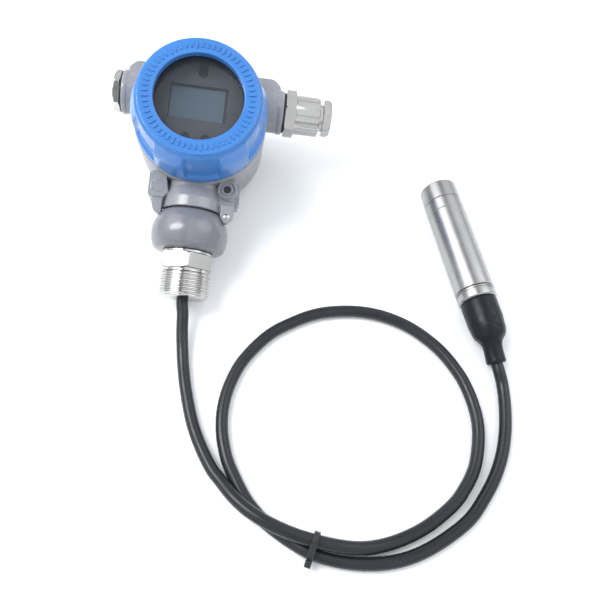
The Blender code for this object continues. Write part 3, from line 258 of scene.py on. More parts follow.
BLUE = finish_of(
    "blue_enamel", (0.042, 0.182, 0.5), 0.24,
    vary=0.06, patch=35, grain=1500, bump=0.05, coat=0.1, gloss=0.42,
)
GREY = finish_of(
    "grey_enamel", (0.252, 0.258, 0.278), 0.27,
    vary=0.07, patch=70, grain=260, bump=0.04, coat=0.3,
)
CUP_GREY = finish_of(
    "cup_enamel", (0.252, 0.258, 0.278), 0.36,
    vary=0.05, patch=40, grain=160, bump=0.03, coat=0.1,
)
BALL_GREY = finish_of(
    "adapter_enamel", (0.165, 0.17, 0.19), 0.25,
    vary=0.07, patch=70, grain=260, bump=0.04, coat=0.35,
)
NICKEL = finish_of(
    "nickel", (0.55, 0.543, 0.527), 0.17, 1.0,
    vary=0.05, patch=90, grain=500, bump=0.10, stretch=(0.15, 0.15, 3.0),
)
# Painted shade: the same nickel made darker for the gland body and its nut, standing in for their darker
# reflections
SHADED_GLAND_NICKEL = finish_of(
    "gland_nickel_painted_shade", (0.47, 0.46, 0.445), 0.17, 1.0,
    vary=0.05, patch=90, grain=500, bump=0.1, stretch=(0.15, 0.15, 3.0),
)
STEEL = finish_of(
    "turned_steel", (0.4, 0.395, 0.39), 0.31, 1.0,
    vary=0.06, patch=60, grain=420, bump=0.22, stretch=(0.12, 0.12, 5.0),
)
BLACK_RUBBER = finish_of(
    "black_rubber_finish", (0.022, 0.022, 0.024), 0.62,
    vary=0.2, patch=200, grain=2500, bump=0.2,
)
BEZEL = finish_of(
    "bezel_finish", (0.087, 0.091, 0.109), 0.5,
    vary=0.08, patch=120, grain=3000, bump=0.12,
)
LCD = finish_of("lcd_film", (0.135, 0.205, 0.265), 0.22, vary=0.05, patch=45, grain=4000, bump=0.03)
# Near black used as painted shade: the shadow strip in the display's recess and the zip tie's mouth
RECESS_SHADE_DARK = finish_of("painted_recess_shade", (0.02, 0.024, 0.028), 0.4, vary=0.1, patch=200, grain=3000, bump=0.05)
BOARD = finish_of("board_lacquer", (0.02, 0.13, 0.06), 0.42, vary=0.15, patch=260, grain=2200, bump=0.25)
# Painted shade: near black for the display board and its screw, so the slot above the display looks shaded
SHADED_BOARD = finish_of(
    "board_painted_shade", (0.014, 0.018, 0.02), 0.42,
    vary=0.15, patch=260, grain=2200, bump=0.2,
)
WHITE = finish_of("white_moulding", (0.68, 0.68, 0.66), 0.45, vary=0.04, patch=150, grain=2200, bump=0.1)
BRASS = finish_of(
    "turned_brass", (0.68, 0.48, 0.2), 0.3, 1.0,
    vary=0.08, patch=200, grain=700, bump=0.2, stretch=(0.2, 0.2, 4.0),
)
RED = finish_of("red_insulation", (0.48, 0.02, 0.02), 0.4, vary=0.1, patch=300, grain=2500, bump=0.1)
TIE = finish_of("tie_nylon", (0.02, 0.021, 0.024), 0.3, vary=0.12, patch=220, grain=1800, bump=0.12)
BOOT = finish_of(
    "boot_rubber", (0.0095, 0.0115, 0.0155), 0.34,
    vary=0.14, patch=110, grain=1500, bump=0.14, gloss=0.22,
)


def cable_sheath():
    """Dark sheath with fine length-wise drawing marks, dusty patches and small scuffs."""
    graph = Graph("cable_sheath_finish")
    base = (0.015, 0.0165, 0.02)
    graph.set("Specular IOR Level", 0.35)
    slow = graph.noise(38.0, 4.0, 0.6)
    tone = graph.blend(graph.span(slow, 0.0, 1.0), scaled(base, 0.82), scaled(base, 1.2))
    scuff = graph.span(graph.noise(420.0, 5.0, 0.7), 0.0, 1.0, 0.66, 0.74)
    graph.set("Base Color", graph.blend(scuff, tone, scaled(base, 2.1)))
    graph.set("Roughness", graph.span(graph.noise(160.0, 4.0, 0.6), 0.24, 0.36))
    fine = graph.noise(1100.0, 3.0, 0.5)
    graph.set("Normal", graph.bump(fine, 0.18, GRAIN_DEPTH))
    return graph.material


CABLE = cable_sheath()


def window_pane():
    """Toughened glass with a slight smoke tint and a faint bloom of dust, seen through by its alpha."""
    graph = Graph("window_pane")
    dust = graph.noise(55.0, 4.0, 0.6)
    graph.set("Base Color", graph.blend(graph.span(dust, 0.0, 1.0), (0.05, 0.06, 0.07), (0.075, 0.088, 0.1)))
    graph.set("Roughness", graph.span(dust, 0.03, 0.07))
    graph.set("Alpha", graph.span(dust, 0.2, 0.24))
    graph.set("Specular IOR Level", 0.9)
    return graph.material


GLASS = window_pane()


def show(name, bm, look, body, place=Matrix(), replaces=(), sharp=28.0):
    """Makes a visible piece from a bmesh, in its own frame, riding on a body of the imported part."""
    bmesh.ops.recalc_face_normals(bm, faces=bm.faces)
    mesh = bpy.data.meshes.new(name)
    bm.to_mesh(mesh)
    bm.free()
    mesh.shade_smooth()
    mesh.set_sharp_from_angle(angle=math.radians(sharp))
    mesh.materials.append(look)
    obj = bpy.data.objects.new(name, mesh)
    bpy.context.scene.collection.objects.link(obj)
    obj.matrix_world = place
    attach(obj, body)
    if replaces:
        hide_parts(*replaces)
    return obj


def in_metres(points):
    return [(x * MM, y * MM) for x, y in points]


def eased(points, steps=4):
    """An outline in metres from (radius, height) or (radius, height, fillet) points in millimetres."""
    closed = points[0][0] > 0
    count = len(points)
    result = []
    for index, point in enumerate(points):
        here = Vector(point[:2])
        fillet = point[2] if len(point) > 2 else 0.0
        ends = index in (0, count - 1) and not closed
        if not fillet or ends:
            result.append(here)
            continue
        before = Vector(points[index - 1][:2])
        after = Vector(points[(index + 1) % count][:2])
        back = (before - here).normalized() * min(fillet, (before - here).length * 0.48)
        ahead = (after - here).normalized() * min(fillet, (after - here).length * 0.48)
        for step in range(steps + 1):
            t = step / steps
            result.append((here + back) * (1 - t) ** 2 + here * 2 * t * (1 - t) + (here + ahead) * t**2)
    return in_metres(result)


def lathe(outline, sides, shape=None):
    """A turned solid about Z. shape(angle, radius, height) may change a radius, for flats and threads."""
    bm = bmesh.new()
    rings = []
    for radius, height in outline:
        if radius < 1e-9:
            rings.append([bm.verts.new((0, 0, height))])
            continue
        ring = []
        for step in range(sides):
            angle = math.tau * step / sides
            reach = shape(angle, radius, height) if shape else radius
            ring.append(bm.verts.new((reach * math.cos(angle), reach * math.sin(angle), height)))
        rings.append(ring)
    bands = list(zip(rings, rings[1:]))
    if len(rings[0]) > 1:
        bands.append((rings[-1], rings[0]))
    for low, high in bands:
        for step in range(sides):
            after = (step + 1) % sides
            corners = [low[step % len(low)], low[after % len(low)]]
            corners += [high[after % len(high)], high[step % len(high)]]
            corners = list(dict.fromkeys(corners))
            if len(corners) > 2:
                bm.faces.new(corners)
    return bm


def bridge(bm, rings):
    """Joins rings of equal length with quads, and the last ring with the first."""
    count = len(rings[0])
    for low, high in zip(rings, rings[1:] + rings[:1]):
        for step in range(count):
            after = (step + 1) % count
            bm.faces.new((low[step], low[after], high[after], high[step]))


def add_turned(bm, name, points, place):
    """Adds a turned solid, from points in millimetres, to a bmesh at its own place."""
    part = lathe(in_metres(points), 96)
    bmesh.ops.transform(part, matrix=place, verts=part.verts)
    piece = bpy.data.meshes.new(name)
    part.to_mesh(piece)
    part.free()
    bm.from_mesh(piece)


def cut(obj, label, name, bm, place):
    """Cuts the blocks of a bmesh out of a piece."""
    bmesh.ops.recalc_face_normals(bm, faces=bm.faces)
    mesh = bpy.data.meshes.new(name)
    bm.to_mesh(mesh)
    bm.free()
    tool = bpy.data.objects.new(name, mesh)
    bpy.context.scene.collection.objects.link(tool)
    tool.matrix_world = place
    tool.hide_render = True
    tool.hide_viewport = True
    modifier = obj.modifiers.new(label, "BOOLEAN")
    modifier.operation = "DIFFERENCE"
    modifier.object = tool


def block(bm, outline, low, high, place=Matrix()):
    """Adds a prism to a bmesh: an outline of (x, y) points in millimetres between two heights."""
    floor = [bm.verts.new(place @ Vector((x * MM, y * MM, low * MM))) for x, y in outline]
    roof = [bm.verts.new(place @ Vector((x * MM, y * MM, high * MM))) for x, y in outline]
    bm.faces.new(list(reversed(floor)))
    bm.faces.new(roof)
    count = len(outline)
    for step in range(count):
        after = (step + 1) % count
        bm.faces.new((floor[step], floor[after], roof[after], roof[step]))


def circle(x, y, radius, sides=32):
    angles = [math.tau * step / sides for step in range(sides)]
    return [(x + radius * math.cos(angle), y + radius * math.sin(angle)) for angle in angles]


def rounded_box(width, depth, centre=(0.0, 0.0), corner=1.0, steps=5):
    """A rectangle with round corners, in millimetres."""
    points = []
    for quarter, (sx, sy) in enumerate(((1, 1), (-1, 1), (-1, -1), (1, -1))):
        x = centre[0] + sx * (width / 2 - corner)
        y = centre[1] + sy * (depth / 2 - corner)
        for step in range(steps + 1):
            angle = math.pi / 2 * (quarter + step / steps)
            points.append((x + corner * math.cos(angle), y + corner * math.sin(angle)))
    return points


def smooth(t):
    t = min(1.0, max(0.0, t))
    return t * t * (3 - 2 * t)


def hexagonal(flats, low, high, turn=0.0):
    """Cuts six flats into a turned solid between two heights, in millimetres."""

    def shape(angle, radius, height):
        if not low * MM - 1e-7 <= height <= high * MM + 1e-7:
            return radius
        side = flats / 2 * MM / math.cos((angle - turn) % (math.pi / 3) - math.pi / 6)
        return min(radius, side)

    return shape


def smooth_line(points, spacing):
    """Even points on a smooth curve through the route's own points."""
    places = [Vector(point) for point in points]
    places = [2 * places[0] - places[1], *places, 2 * places[-1] - places[-2]]
    fine = []
    for before, start, end, after in zip(places, places[1:], places[2:], places[3:]):
        for step in range(ROUTE_STEPS):
            t = step / ROUTE_STEPS
            fine.append(
                0.5
                * (
                    2 * start
                    + (end - before) * t
                    + (2 * before - 5 * start + 4 * end - after) * t**2
                    + (3 * start - before - 3 * end + after) * t**3
                )
            )
    fine.append(places[-2])
    length = sum((b - a).length for a, b in zip(fine, fine[1:]))
    count = round(length / spacing)
    even = [fine[0]]
    walked = 0.0
    for a, b in zip(fine, fine[1:]):
        step = (b - a).length
        while len(even) < count and walked + step >= length * len(even) / count:
            even.append(a.lerp(b, (length * len(even) / count - walked) / step))
        walked += step
    return [*even, fine[-1]]


# Heights along the neck's axis, as in part.py, in millimetres
BALL_START = 61.1
BALL_END = 86.3
RING_LOW = 86.6
HEX_LOW = 88.8
GROOVE_LOW = 98.3
THREAD_LOW = 100.3
SEAL_STEP = 104.0
FITTING_END = 116.9

# Sizes of the ball and of the threaded fitting, lengths in millimetres
BALL_BORE = 12.0
BALL_EDGE = 83.9
BALL_MIDDLE = 75.2
BALL_REACH = 23.5
BALL_RADIUS = 25.3
FITTING_FLATS = 32.4
FITTING_TURN = math.radians(24.0)
THREAD_RADIUS = 16.55
THREAD_RUNOUT = 15.1
THREAD_RISE = 1.45
THREAD_PITCH = 2.31
THREAD_FADE = 1.3
THREAD_DEPTH = 1.1
THREAD_STEPS = 110

# Heights along the probe's axis, and the boot's inside, in millimetres
COLLAR_END = 92.7
TAIL_END = 107.7
BOOT_START = 93.0
BOOT_LENGTH = 43.4
BOOT_WALL = 1.1
BOOT_TAIL_BORE = 9.8
BOOT_SLEEVE_BORE = 4.3

# Height above the table of the cable's middle just past the boot, in millimetres
BOOT_END_HEIGHT = 6.4

# Spacing of the cable's points in metres, and the steps between two points of a line to smooth
CABLE_SPACING = 1.6 * MM
ROUTE_STEPS = 12


def line_height(along):
    """Height of the boot's and the cable's middle behind the probe, in millimetres."""
    t = smooth((along - TAIL_END - 1.0) / (BOOT_START + BOOT_LENGTH + 6.0 - TAIL_END - 1.0))
    return PROBE_RADIUS + (BOOT_END_HEIGHT - PROBE_RADIUS) * t


def cable_line():
    points = [NECK @ Vector((0, 0, along * MM)) for along in (SEAL_STEP + 0.4, FITTING_END + 2.0)]
    points += [Vector(point) * MM for point in CABLE_ROUTE]
    end = BOOT_START + BOOT_LENGTH
    for along in (end + 4, end - 3, end - 10, end - 17, TAIL_END - 4, TAIL_END - 14):
        points.append(PROBE @ Vector(((PROBE_RADIUS - line_height(along)) * MM, 0, along * MM)))
    return smooth_line(points, CABLE_SPACING)


def cable():
    """The cable as one smooth round cord."""
    line = cable_line()
    curve = bpy.data.curves.new("cable_run", "CURVE")
    curve.dimensions = "3D"
    curve.bevel_depth = CABLE_RADIUS
    curve.bevel_resolution = 8
    curve.use_fill_caps = True
    spline = curve.splines.new("POLY")
    spline.points.add(len(line) - 1)
    for knot, place in zip(spline.points, line):
        knot.co = (*place, 1.0)
    curve.materials.append(CABLE)
    run = bpy.data.objects.new("cable_run", curve)
    bpy.context.scene.collection.objects.link(run)
    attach(run, "base")
    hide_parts("cable")
    length = sum((b - a).length for a, b in zip(line, line[1:]))
    return run, length


# The tie's place and heading, then its sizes in its own frame, in millimetres
TIE_PLACE = (22.15 * MM, -212.4 * MM, 8.2 * MM)
TIE_HEADING = math.radians(-14.0)
TIE_RUNS = ((3.15, 2.65), (-3.15, -2.65))
TIE_INNER = 3.9 + 0.45
TIE_THICKNESS = 1.2
TIE_STEPS = 24
TIE_SECTION = (
    (-1.8, 0.15), (-1.55, 0.0), (1.55, 0.0), (1.8, 0.15), (1.8, 1.0), (1.55, 1.2), (-1.55, 1.2),
    (-1.8, 1.0),
)


def tie():
    """The zip tie: a band round both runs, its square head with a dark block painted as the shade in its
    mouth, and the cut tail.
    """
    place = Matrix.Translation(TIE_PLACE) @ Matrix.Rotation(TIE_HEADING, 4, "Z")
    lean = math.atan2(TIE_RUNS[0][1], TIE_RUNS[0][0])
    bm = bmesh.new()
    rings = []
    for along, out in TIE_SECTION:
        ring = []
        for (across, up), base in zip(TIE_RUNS, (lean - math.pi / 2, lean + math.pi / 2)):
            for step in range(TIE_STEPS + 1):
                angle = base + math.pi * step / TIE_STEPS
                reach = TIE_INNER + out
                y = across + reach * math.cos(angle)
                z = up + reach * math.sin(angle)
                ring.append(bm.verts.new((along * MM, y * MM, z * MM)))
        rings.append(ring)
    bridge(bm, rings)
    band = show("tie_band", bm, TIE, "base", place, ("zip_tie",))
    head = bmesh.new()
    side = TIE_RUNS[1][0] - TIE_INNER - TIE_THICKNESS - 1.9 + 1.0
    block(head, rounded_box(3.8, 3.8, (0, side), 0.6), -3.95, 0.65)
    # The mouth is not cut: a dark block through the head is painted as the shade in its opening
    mouth = bmesh.new()
    block(mouth, rounded_box(2.2, 1.2, (0, side - 0.3), 0.3), -4.05, 0.75)
    tail = bmesh.new()
    block(tail, rounded_box(2.6, 1.1, (0, side + 0.3), 0.3), 0.5, 2.3)
    block_piece = show("tie_head", head, TIE, "base", place)
    soften(block_piece, 0.35 * MM)
    mouth_piece = show("tie_mouth_painted_shade", mouth, RECESS_SHADE_DARK, "base", place)
    tail_piece = show("tie_tail", tail, TIE, "base", place)
    soften(tail_piece, 0.25 * MM)
    return [band, block_piece, mouth_piece, tail_piece]


def soften(obj, width, angle=30.0):
    """A rounded edge all over a sharp piece."""
    modifier = obj.modifiers.new("edges", "BEVEL")
    modifier.width = width
    modifier.segments = 3
    modifier.limit_method = "ANGLE"
    modifier.angle_limit = math.radians(angle)
    modifier.harden_normals = True


def cord_and_tie():
    run, length = cable()
    tie()


cord_and_tie()


# The cover's lugs, as shares of the way from one to the next, and its ring of ticks
COVER_TURN = math.radians(-112.0)
LUG_COUNT = 6
LUG_HALF = 0.222
LUG_EDGE = 0.056
TICK_COUNT = 60
TICK_REACH = 32.4 * MM
TICK_FOOT = 53.0 * MM


def cover():
    """The blue front cover: grip lugs, scooped sides, and a bevelled face with a ring of plain ticks."""
    rim = [(36.3, 53.1), (37.1, 53.1, 0.7), (37.15, 51.4, 0.7), (39.0, 49.8, 1.0)]
    scoop = [(39.3, 45.6, 2.0), (39.8, 42.0, 2.0), (40.0, 37.5, 2.0), (40.0, 31.0, 1.0), (40.0, 24.8, 1.6)]
    grip = [(40.3, 45.6, 2.0), (41.7, 42.0, 2.0), (42.9, 37.5, 2.0), (42.9, 31.0, 1.0), (42.9, 24.8, 1.6)]
    flange = [(42.9, 21.8, 1.2), (42.9, 17.6, 0.7), (42.3, 16.85, 0.3), (40.2, 16.85)]
    recess = rim + scoop + flange
    lug = rim + grip + flange
    under = [
        (40.2, 19.2), (37.3, 19.2), (37.3, 34.3), (33.5, 36.0), (33.5, 43.9), (31.3, 43.9), (31.3, 48.7),
    ]
    opening = [(27.5, 48.7), (27.5, 52.5), (27.6, 52.85), (27.85, 53.05), (28.2, 53.1)]
    sides = 360
    bm = bmesh.new()
    rings = []
    for (inner, low), (outer, high) in zip(eased(recess, 5), eased(lug, 5)):
        ring = []
        for step in range(sides):
            angle = math.tau * step / sides
            phase = angle * LUG_COUNT / math.tau
            on_lug = 1 - smooth((abs(phase - round(phase)) - LUG_HALF) / LUG_EDGE)
            reach = inner + (outer - inner) * on_lug
            height = low + (high - low) * on_lug
            ring.append(bm.verts.new((reach * math.cos(angle), reach * math.sin(angle), height)))
        rings.append(ring)
    for radius, height in in_metres(under + opening):
        ring = []
        for step in range(sides):
            angle = math.tau * step / sides
            ring.append(bm.verts.new((radius * math.cos(angle), radius * math.sin(angle), height)))
        rings.append(ring)
    bridge(bm, rings)
    place = HEAD @ Matrix.Rotation(COVER_TURN, 4, "Z")
    show("cover_shell", bm, BLUE, "cover", place, ("front_cover",), 40.0)
    ticks = bmesh.new()
    for number in range(TICK_COUNT):
        turned = Matrix.Rotation(math.tau * number / TICK_COUNT, 4, "Z")
        spot = turned @ Matrix.Translation((TICK_REACH, 0, TICK_FOOT))
        long = 3.4 if number % 5 else 4.6
        block(ticks, rounded_box(long, 1.2, (0, 0), 0.4, 3), 0.0, 0.85, spot)
    soften(show("cover_ticks", ticks, BLUE, "cover", place), 0.18 * MM)


# The display's openings, in millimetres
LCD_MIDDLE = (-1.1, 1.5)
SLOT_RADIUS = 3.0
SLOT_MIDDLE = 21.4
KEY_HOLE = 2.6
KEY_ROW = -21.0
KEYS = (("left_key", "key_left", -7.0), ("right_key", "key_right", 5.4))


def window():
    """The pane, the bezel plate with its openings, a dark strip painted as the shadow in the display's recess,
    and the two keys.
    """
    pane = eased([(0, 43.6), (31.0, 43.6, 0.5), (31.0, 47.9, 0.5), (0, 47.9)])
    show("window_pane", lathe(pane, 128), GLASS, "cover", HEAD, ("window_glass",))
    plate = lathe(eased([(0, 36.3), (31.4, 36.3, 0.3), (31.4, 38.8, 0.3), (0, 38.8)]), 128)
    bezel = show("bezel_plate", plate, BEZEL, "base", HEAD, ("display_bezel",))
    angles = [math.pi * (1 + step / 16) for step in range(17)]
    radius = SLOT_RADIUS
    screw_slot = [(radius * math.cos(angle), SLOT_MIDDLE + radius * math.sin(angle)) for angle in angles]
    screw_slot += [(radius, 33.0), (-radius, 33.0)]
    holes = [circle(x, KEY_ROW, KEY_HOLE) for body, node, x in KEYS]
    tools = bmesh.new()
    for outline in (rounded_box(36.2, 23.0, LCD_MIDDLE, 0.6), screw_slot, *holes):
        block(tools, outline, 35.0, 40.0)
    cut(bezel, "openings", "bezel_cutter", tools, HEAD)
    soften(bezel, 0.25 * MM, 40.0)
    # A dark strip painted as the shadow in the display's recess, wider along its right and lower sides
    shadow_strip = bmesh.new()
    x, y = LCD_MIDDLE
    outer = rounded_box(36.1, 22.9, LCD_MIDDLE, 0.6)
    inner = rounded_box(33.7, 21.3, (x - 0.7, y + 0.3), 0.4)
    loops = []
    for outline, height in ((outer, 36.05), (inner, 36.05), (inner, 36.55), (outer, 36.55)):
        loops.append([shadow_strip.verts.new((x * MM, y * MM, height * MM)) for x, y in outline])
    bridge(shadow_strip, loops)
    show("lcd_painted_shadow", shadow_strip, RECESS_SHADE_DARK, "base", HEAD)
    for body, node, x in KEYS:
        cap = [(0, 34.5), (2.3, 34.5), (2.3, 39.6, 0.5), (1.75, 39.6, 0.3), (1.5, 39.1, 0.3), (0, 39.0)]
        spot = HEAD @ Matrix.Translation((x * MM, KEY_ROW * MM, 0))
        show(f"{node}_cap", lathe(eased(cap), 48), BLACK_RUBBER, body, spot, (node,))


def carried(node, look):
    """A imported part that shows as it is, with a finish of its own."""
    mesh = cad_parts[node].data
    mesh.materials.clear()
    mesh.materials.append(look)


def shell():
    """The cast housing: the round cup, and both cable entries melted into their webs with small fillets."""
    cup = [
        (0, -45.0), (43.4, -45.0, 17.5), (43.4, 16.2, 1.2), (37.0, 16.2, 0.5), (37.0, 34.0, 1.2),
        (33.0, 34.0, 0.6), (33.0, 13.0, 2.0), (36.5, 10.0, 2.0), (36.5, -39.0, 6.0), (0, -39.0),
    ]
    skin = lathe(eased(cup, 10), 160)
    show("housing_shell", skin, CUP_GREY, "base", HEAD, ("housing_body",))
    tube = [
        (10.2, 37.5), (14.3, 37.5), (14.3, 50.6), (14.9, 51.2), (14.9, 53.6), (14.4, 54.2), (10.2, 54.2),
    ]
    web = [
        (24.5, 20.0), (24.5, 38.3), (44.6, 38.3), (47.4, 37.2), (51.0, 33.2), (51.0, 29.8), (42.0, 29.8),
        (37.8, 20.0),
    ]
    bm = bmesh.new()
    for side in (1, -1):
        to_side = Matrix.Translation((0, ENTRY_OFFSET, 0)) @ Matrix.Rotation(math.radians(side * 90), 4, "Y")
        add_turned(bm, "entry_tube", tube, to_side)
        block(bm, [(side * x, y) for x, y in web], -9.5, 10.5)
    casting = show("housing_entries", bm, GREY, "base", HEAD)
    melt(casting, voxel=0.55 * MM, rounds=2, keep=0.6)


def melt(obj, voxel, rounds, keep):
    """Joins the overlapping solids of a piece into one skin with cast fillets."""
    skin = obj.modifiers.new("skin", "REMESH")
    skin.mode = "VOXEL"
    skin.voxel_size = voxel
    skin.use_smooth_shade = True
    ease = obj.modifiers.new("ease", "SMOOTH")
    ease.factor = 0.5
    ease.iterations = rounds
    thin = obj.modifiers.new("thin", "DECIMATE")
    thin.ratio = keep


# Places on the neck's front, in the head's frame, in millimetres
BOSS_PLACE = (21.9, -43.6)
PAD_SPOT_PLACE = (-23.6, -46.4)
RIVET_PLACE = (23.3, -62.0)


def on_head(place):
    return HEAD @ Matrix.Translation((place[0] * MM, place[1] * MM, 0))


def neck():
    """The casting's neck with its pad, boss, rib and tag, the boss's machined rim and the tag's rivet."""
    bm = bmesh.new()
    pipe = [
        (11.5, 37.5), (17.0, 37.5), (17.4, 45.0), (19.6, 52.0), (19.9, 58.8), (19.5, 59.4), (11.5, 59.4),
    ]
    add_turned(bm, "neck_pipe", pipe, Matrix.Rotation(math.radians(90), 4, "X"))
    pad = [
        (-18.5, -36.5), (-26.5, -36.0), (-29.2, -38.2), (-29.4, -51.6), (-28.2, -53.4), (-19.0, -53.6),
        (-16.0, -50.0),
    ]
    pad_tail = [
        (-19.0, -50.0), (-26.0, -50.0), (-26.0, -59.0), (-24.6, -62.4), (-22.2, -63.6), (-19.6, -63.6),
    ]
    boss = circle(*BOSS_PLACE, 6.6, 40)
    boss_foot = [(17.0, -35.0), (27.0, -35.0), (27.0, -50.6), (23.0, -50.6), (17.0, -44.0)]
    boss_tail = [(15.0, -46.0), (27.0, -46.0), (26.6, -57.4), (21.4, -58.6), (16.0, -58.0)]
    rib = [(25.0, -36.8), (30.2, -36.8), (30.6, -49.6), (29.6, -52.8), (25.0, -53.4)]
    tag = [
        (18.8, -54.0), (27.6, -54.0), (27.9, -60.4), (27.0, -63.2), (23.6, -66.6), (21.6, -66.2),
        (19.2, -62.6),
    ]
    for outline, low, high in (
        (pad, -8.0, 11.6),
        (pad_tail, 4.0, 10.4),
        (boss, -8.0, 10.2),
        (boss_foot, -8.0, 9.8),
        (boss_tail, -4.0, 8.6),
        (rib, -8.5, 3.4),
        (tag, 7.7, 11.3),
    ):
        block(bm, outline, low, high)
    casting = show("neck_casting", bm, GREY, "base", HEAD)
    melt(casting, voxel=0.4 * MM, rounds=1, keep=0.6)
    rim = [
        (2.5, 9.0), (2.5, 11.9, 0.3), (3.6, 11.9, 0.3), (3.5, 10.9, 0.2), (5.2, 10.9, 0.3),
        (5.2, 12.0, 0.3), (6.15, 12.0, 0.4), (6.15, 9.0),
    ]
    # A black disc set inside the rim's bore is painted as the shade of the hole
    hole = [(0, 10.3), (2.55, 10.3), (2.55, 11.5), (0, 11.5)]
    spot = on_head(BOSS_PLACE)
    show("boss_rim", lathe(eased(rim), 64), GREY, "base", spot)
    show("boss_hole_painted_shade", lathe(eased(hole), 32), BLACK_RUBBER, "base", spot)
    rows = [
        (0, 11.25), (1.1, 11.3), (2.2, 11.2), (3.1, 11.45), (3.6, 11.85), (4.1, 11.75), (4.3, 11.0),
        (0, 10.6),
    ]
    rough = lathe(in_metres(rows), 40)
    for vert in rough.verts:
        wobble = noise.noise(vert.co * 900)
        vert.co.z += 0.22 * MM * wobble
        vert.co.x *= 1 + 0.05 * wobble
        vert.co.y *= 1 + 0.05 * wobble
    show("pad_spot", rough, GREY, "base", on_head(PAD_SPOT_PLACE))
    rivet = [
        (0, 9.0), (2.0, 9.0), (2.0, 11.7, 0.2), (1.25, 11.9, 0.2), (1.2, 12.4, 0.3), (0.5, 12.5, 0.2),
        (0.4, 12.1), (0, 12.1),
    ]
    head = lathe(eased(rivet), 40)
    show("tag_rivet_head", head, NICKEL, "base", on_head(RIVET_PLACE), ("tag_rivet",))


def below_neck():
    """The ball adapter, the ring and the threaded fitting."""
    rows = [(BALL_BORE, BALL_START)]
    for step in range(41):
        along = BALL_START + (BALL_EDGE - BALL_START) * step / 40
        rows.append((BALL_RADIUS * math.sqrt(1 - ((along - BALL_MIDDLE) / BALL_REACH) ** 2), along))
    last = rows[-1][0]
    rows += [(last - 0.9, 85.0), (last - 2.0, 85.8), (last - 3.4, 86.25), (BALL_BORE, BALL_END)]
    ball = lathe(in_metres(rows), 160)
    show("ball_skin", ball, BALL_GREY, "base", NECK, ("ball_adapter",), 50.0)
    top = RING_LOW + 1.9
    ring = eased([(12.0, RING_LOW), (16.7, RING_LOW, 0.4), (16.7, top, 0.4), (12.0, top)])
    show("ring_skin", lathe(ring, 128), NICKEL, "base", NECK, ("steel_ring",))
    body = [
        (4.3, FITTING_END, 0.5), (4.3, SEAL_STEP), (8.0, SEAL_STEP), (8.0, HEX_LOW - 20.0),
        (11.7, HEX_LOW - 20.0), (11.7, HEX_LOW), (17.7, HEX_LOW, 0.3), (18.75, HEX_LOW + 0.8, 0.3),
        (18.75, GROOVE_LOW - 0.8, 0.3), (17.7, GROOVE_LOW, 0.3), (14.6, GROOVE_LOW, 0.4),
    ]
    outline = eased(body)
    outline += [(14.6 * MM, THREAD_LOW * MM)]
    for step in range(THREAD_STEPS + 1):
        along = THREAD_LOW + (FITTING_END - THREAD_LOW) * step / THREAD_STEPS
        outline.append((THREAD_RADIUS * MM, along * MM))
    outline += [(6.0 * MM, FITTING_END * MM)]
    flats = hexagonal(FITTING_FLATS, HEX_LOW, GROOVE_LOW, FITTING_TURN)

    def shape(angle, radius, height):
        if height >= THREAD_LOW * MM and radius > 16.0 * MM:
            turnings = height / MM / THREAD_PITCH - angle / math.tau
            wave = abs(turnings % 1.0 - 0.5) * 2
            depth = THREAD_DEPTH * MM * smooth(min(1.0, wave * 1.25))
            low_end = (height / MM - THREAD_LOW) / THREAD_FADE
            high_end = (FITTING_END - height / MM) / THREAD_FADE
            full = max(0.0, min(low_end, high_end, 1.0))
            return min(radius - depth, (THREAD_RUNOUT + THREAD_RISE * full) * MM)
        return flats(angle, radius, height)

    fitting = lathe(outline, 192, shape)
    show("fitting_skin", fitting, NICKEL, "base", NECK, ("threaded_fitting",), 55.0)


# The entries' flats and the gland's fluted barrel, lengths in millimetres
ENTRY_TURN = math.radians(4.0)
PLUG_FLATS = 24.6
GLAND_FLATS = 28.1
NUT_FLATS = 22.0
BARREL_LOW = 62.6
BARREL_END = 79.6
FLUTE_COUNT = 12
FLUTE_DEPTH = 0.6


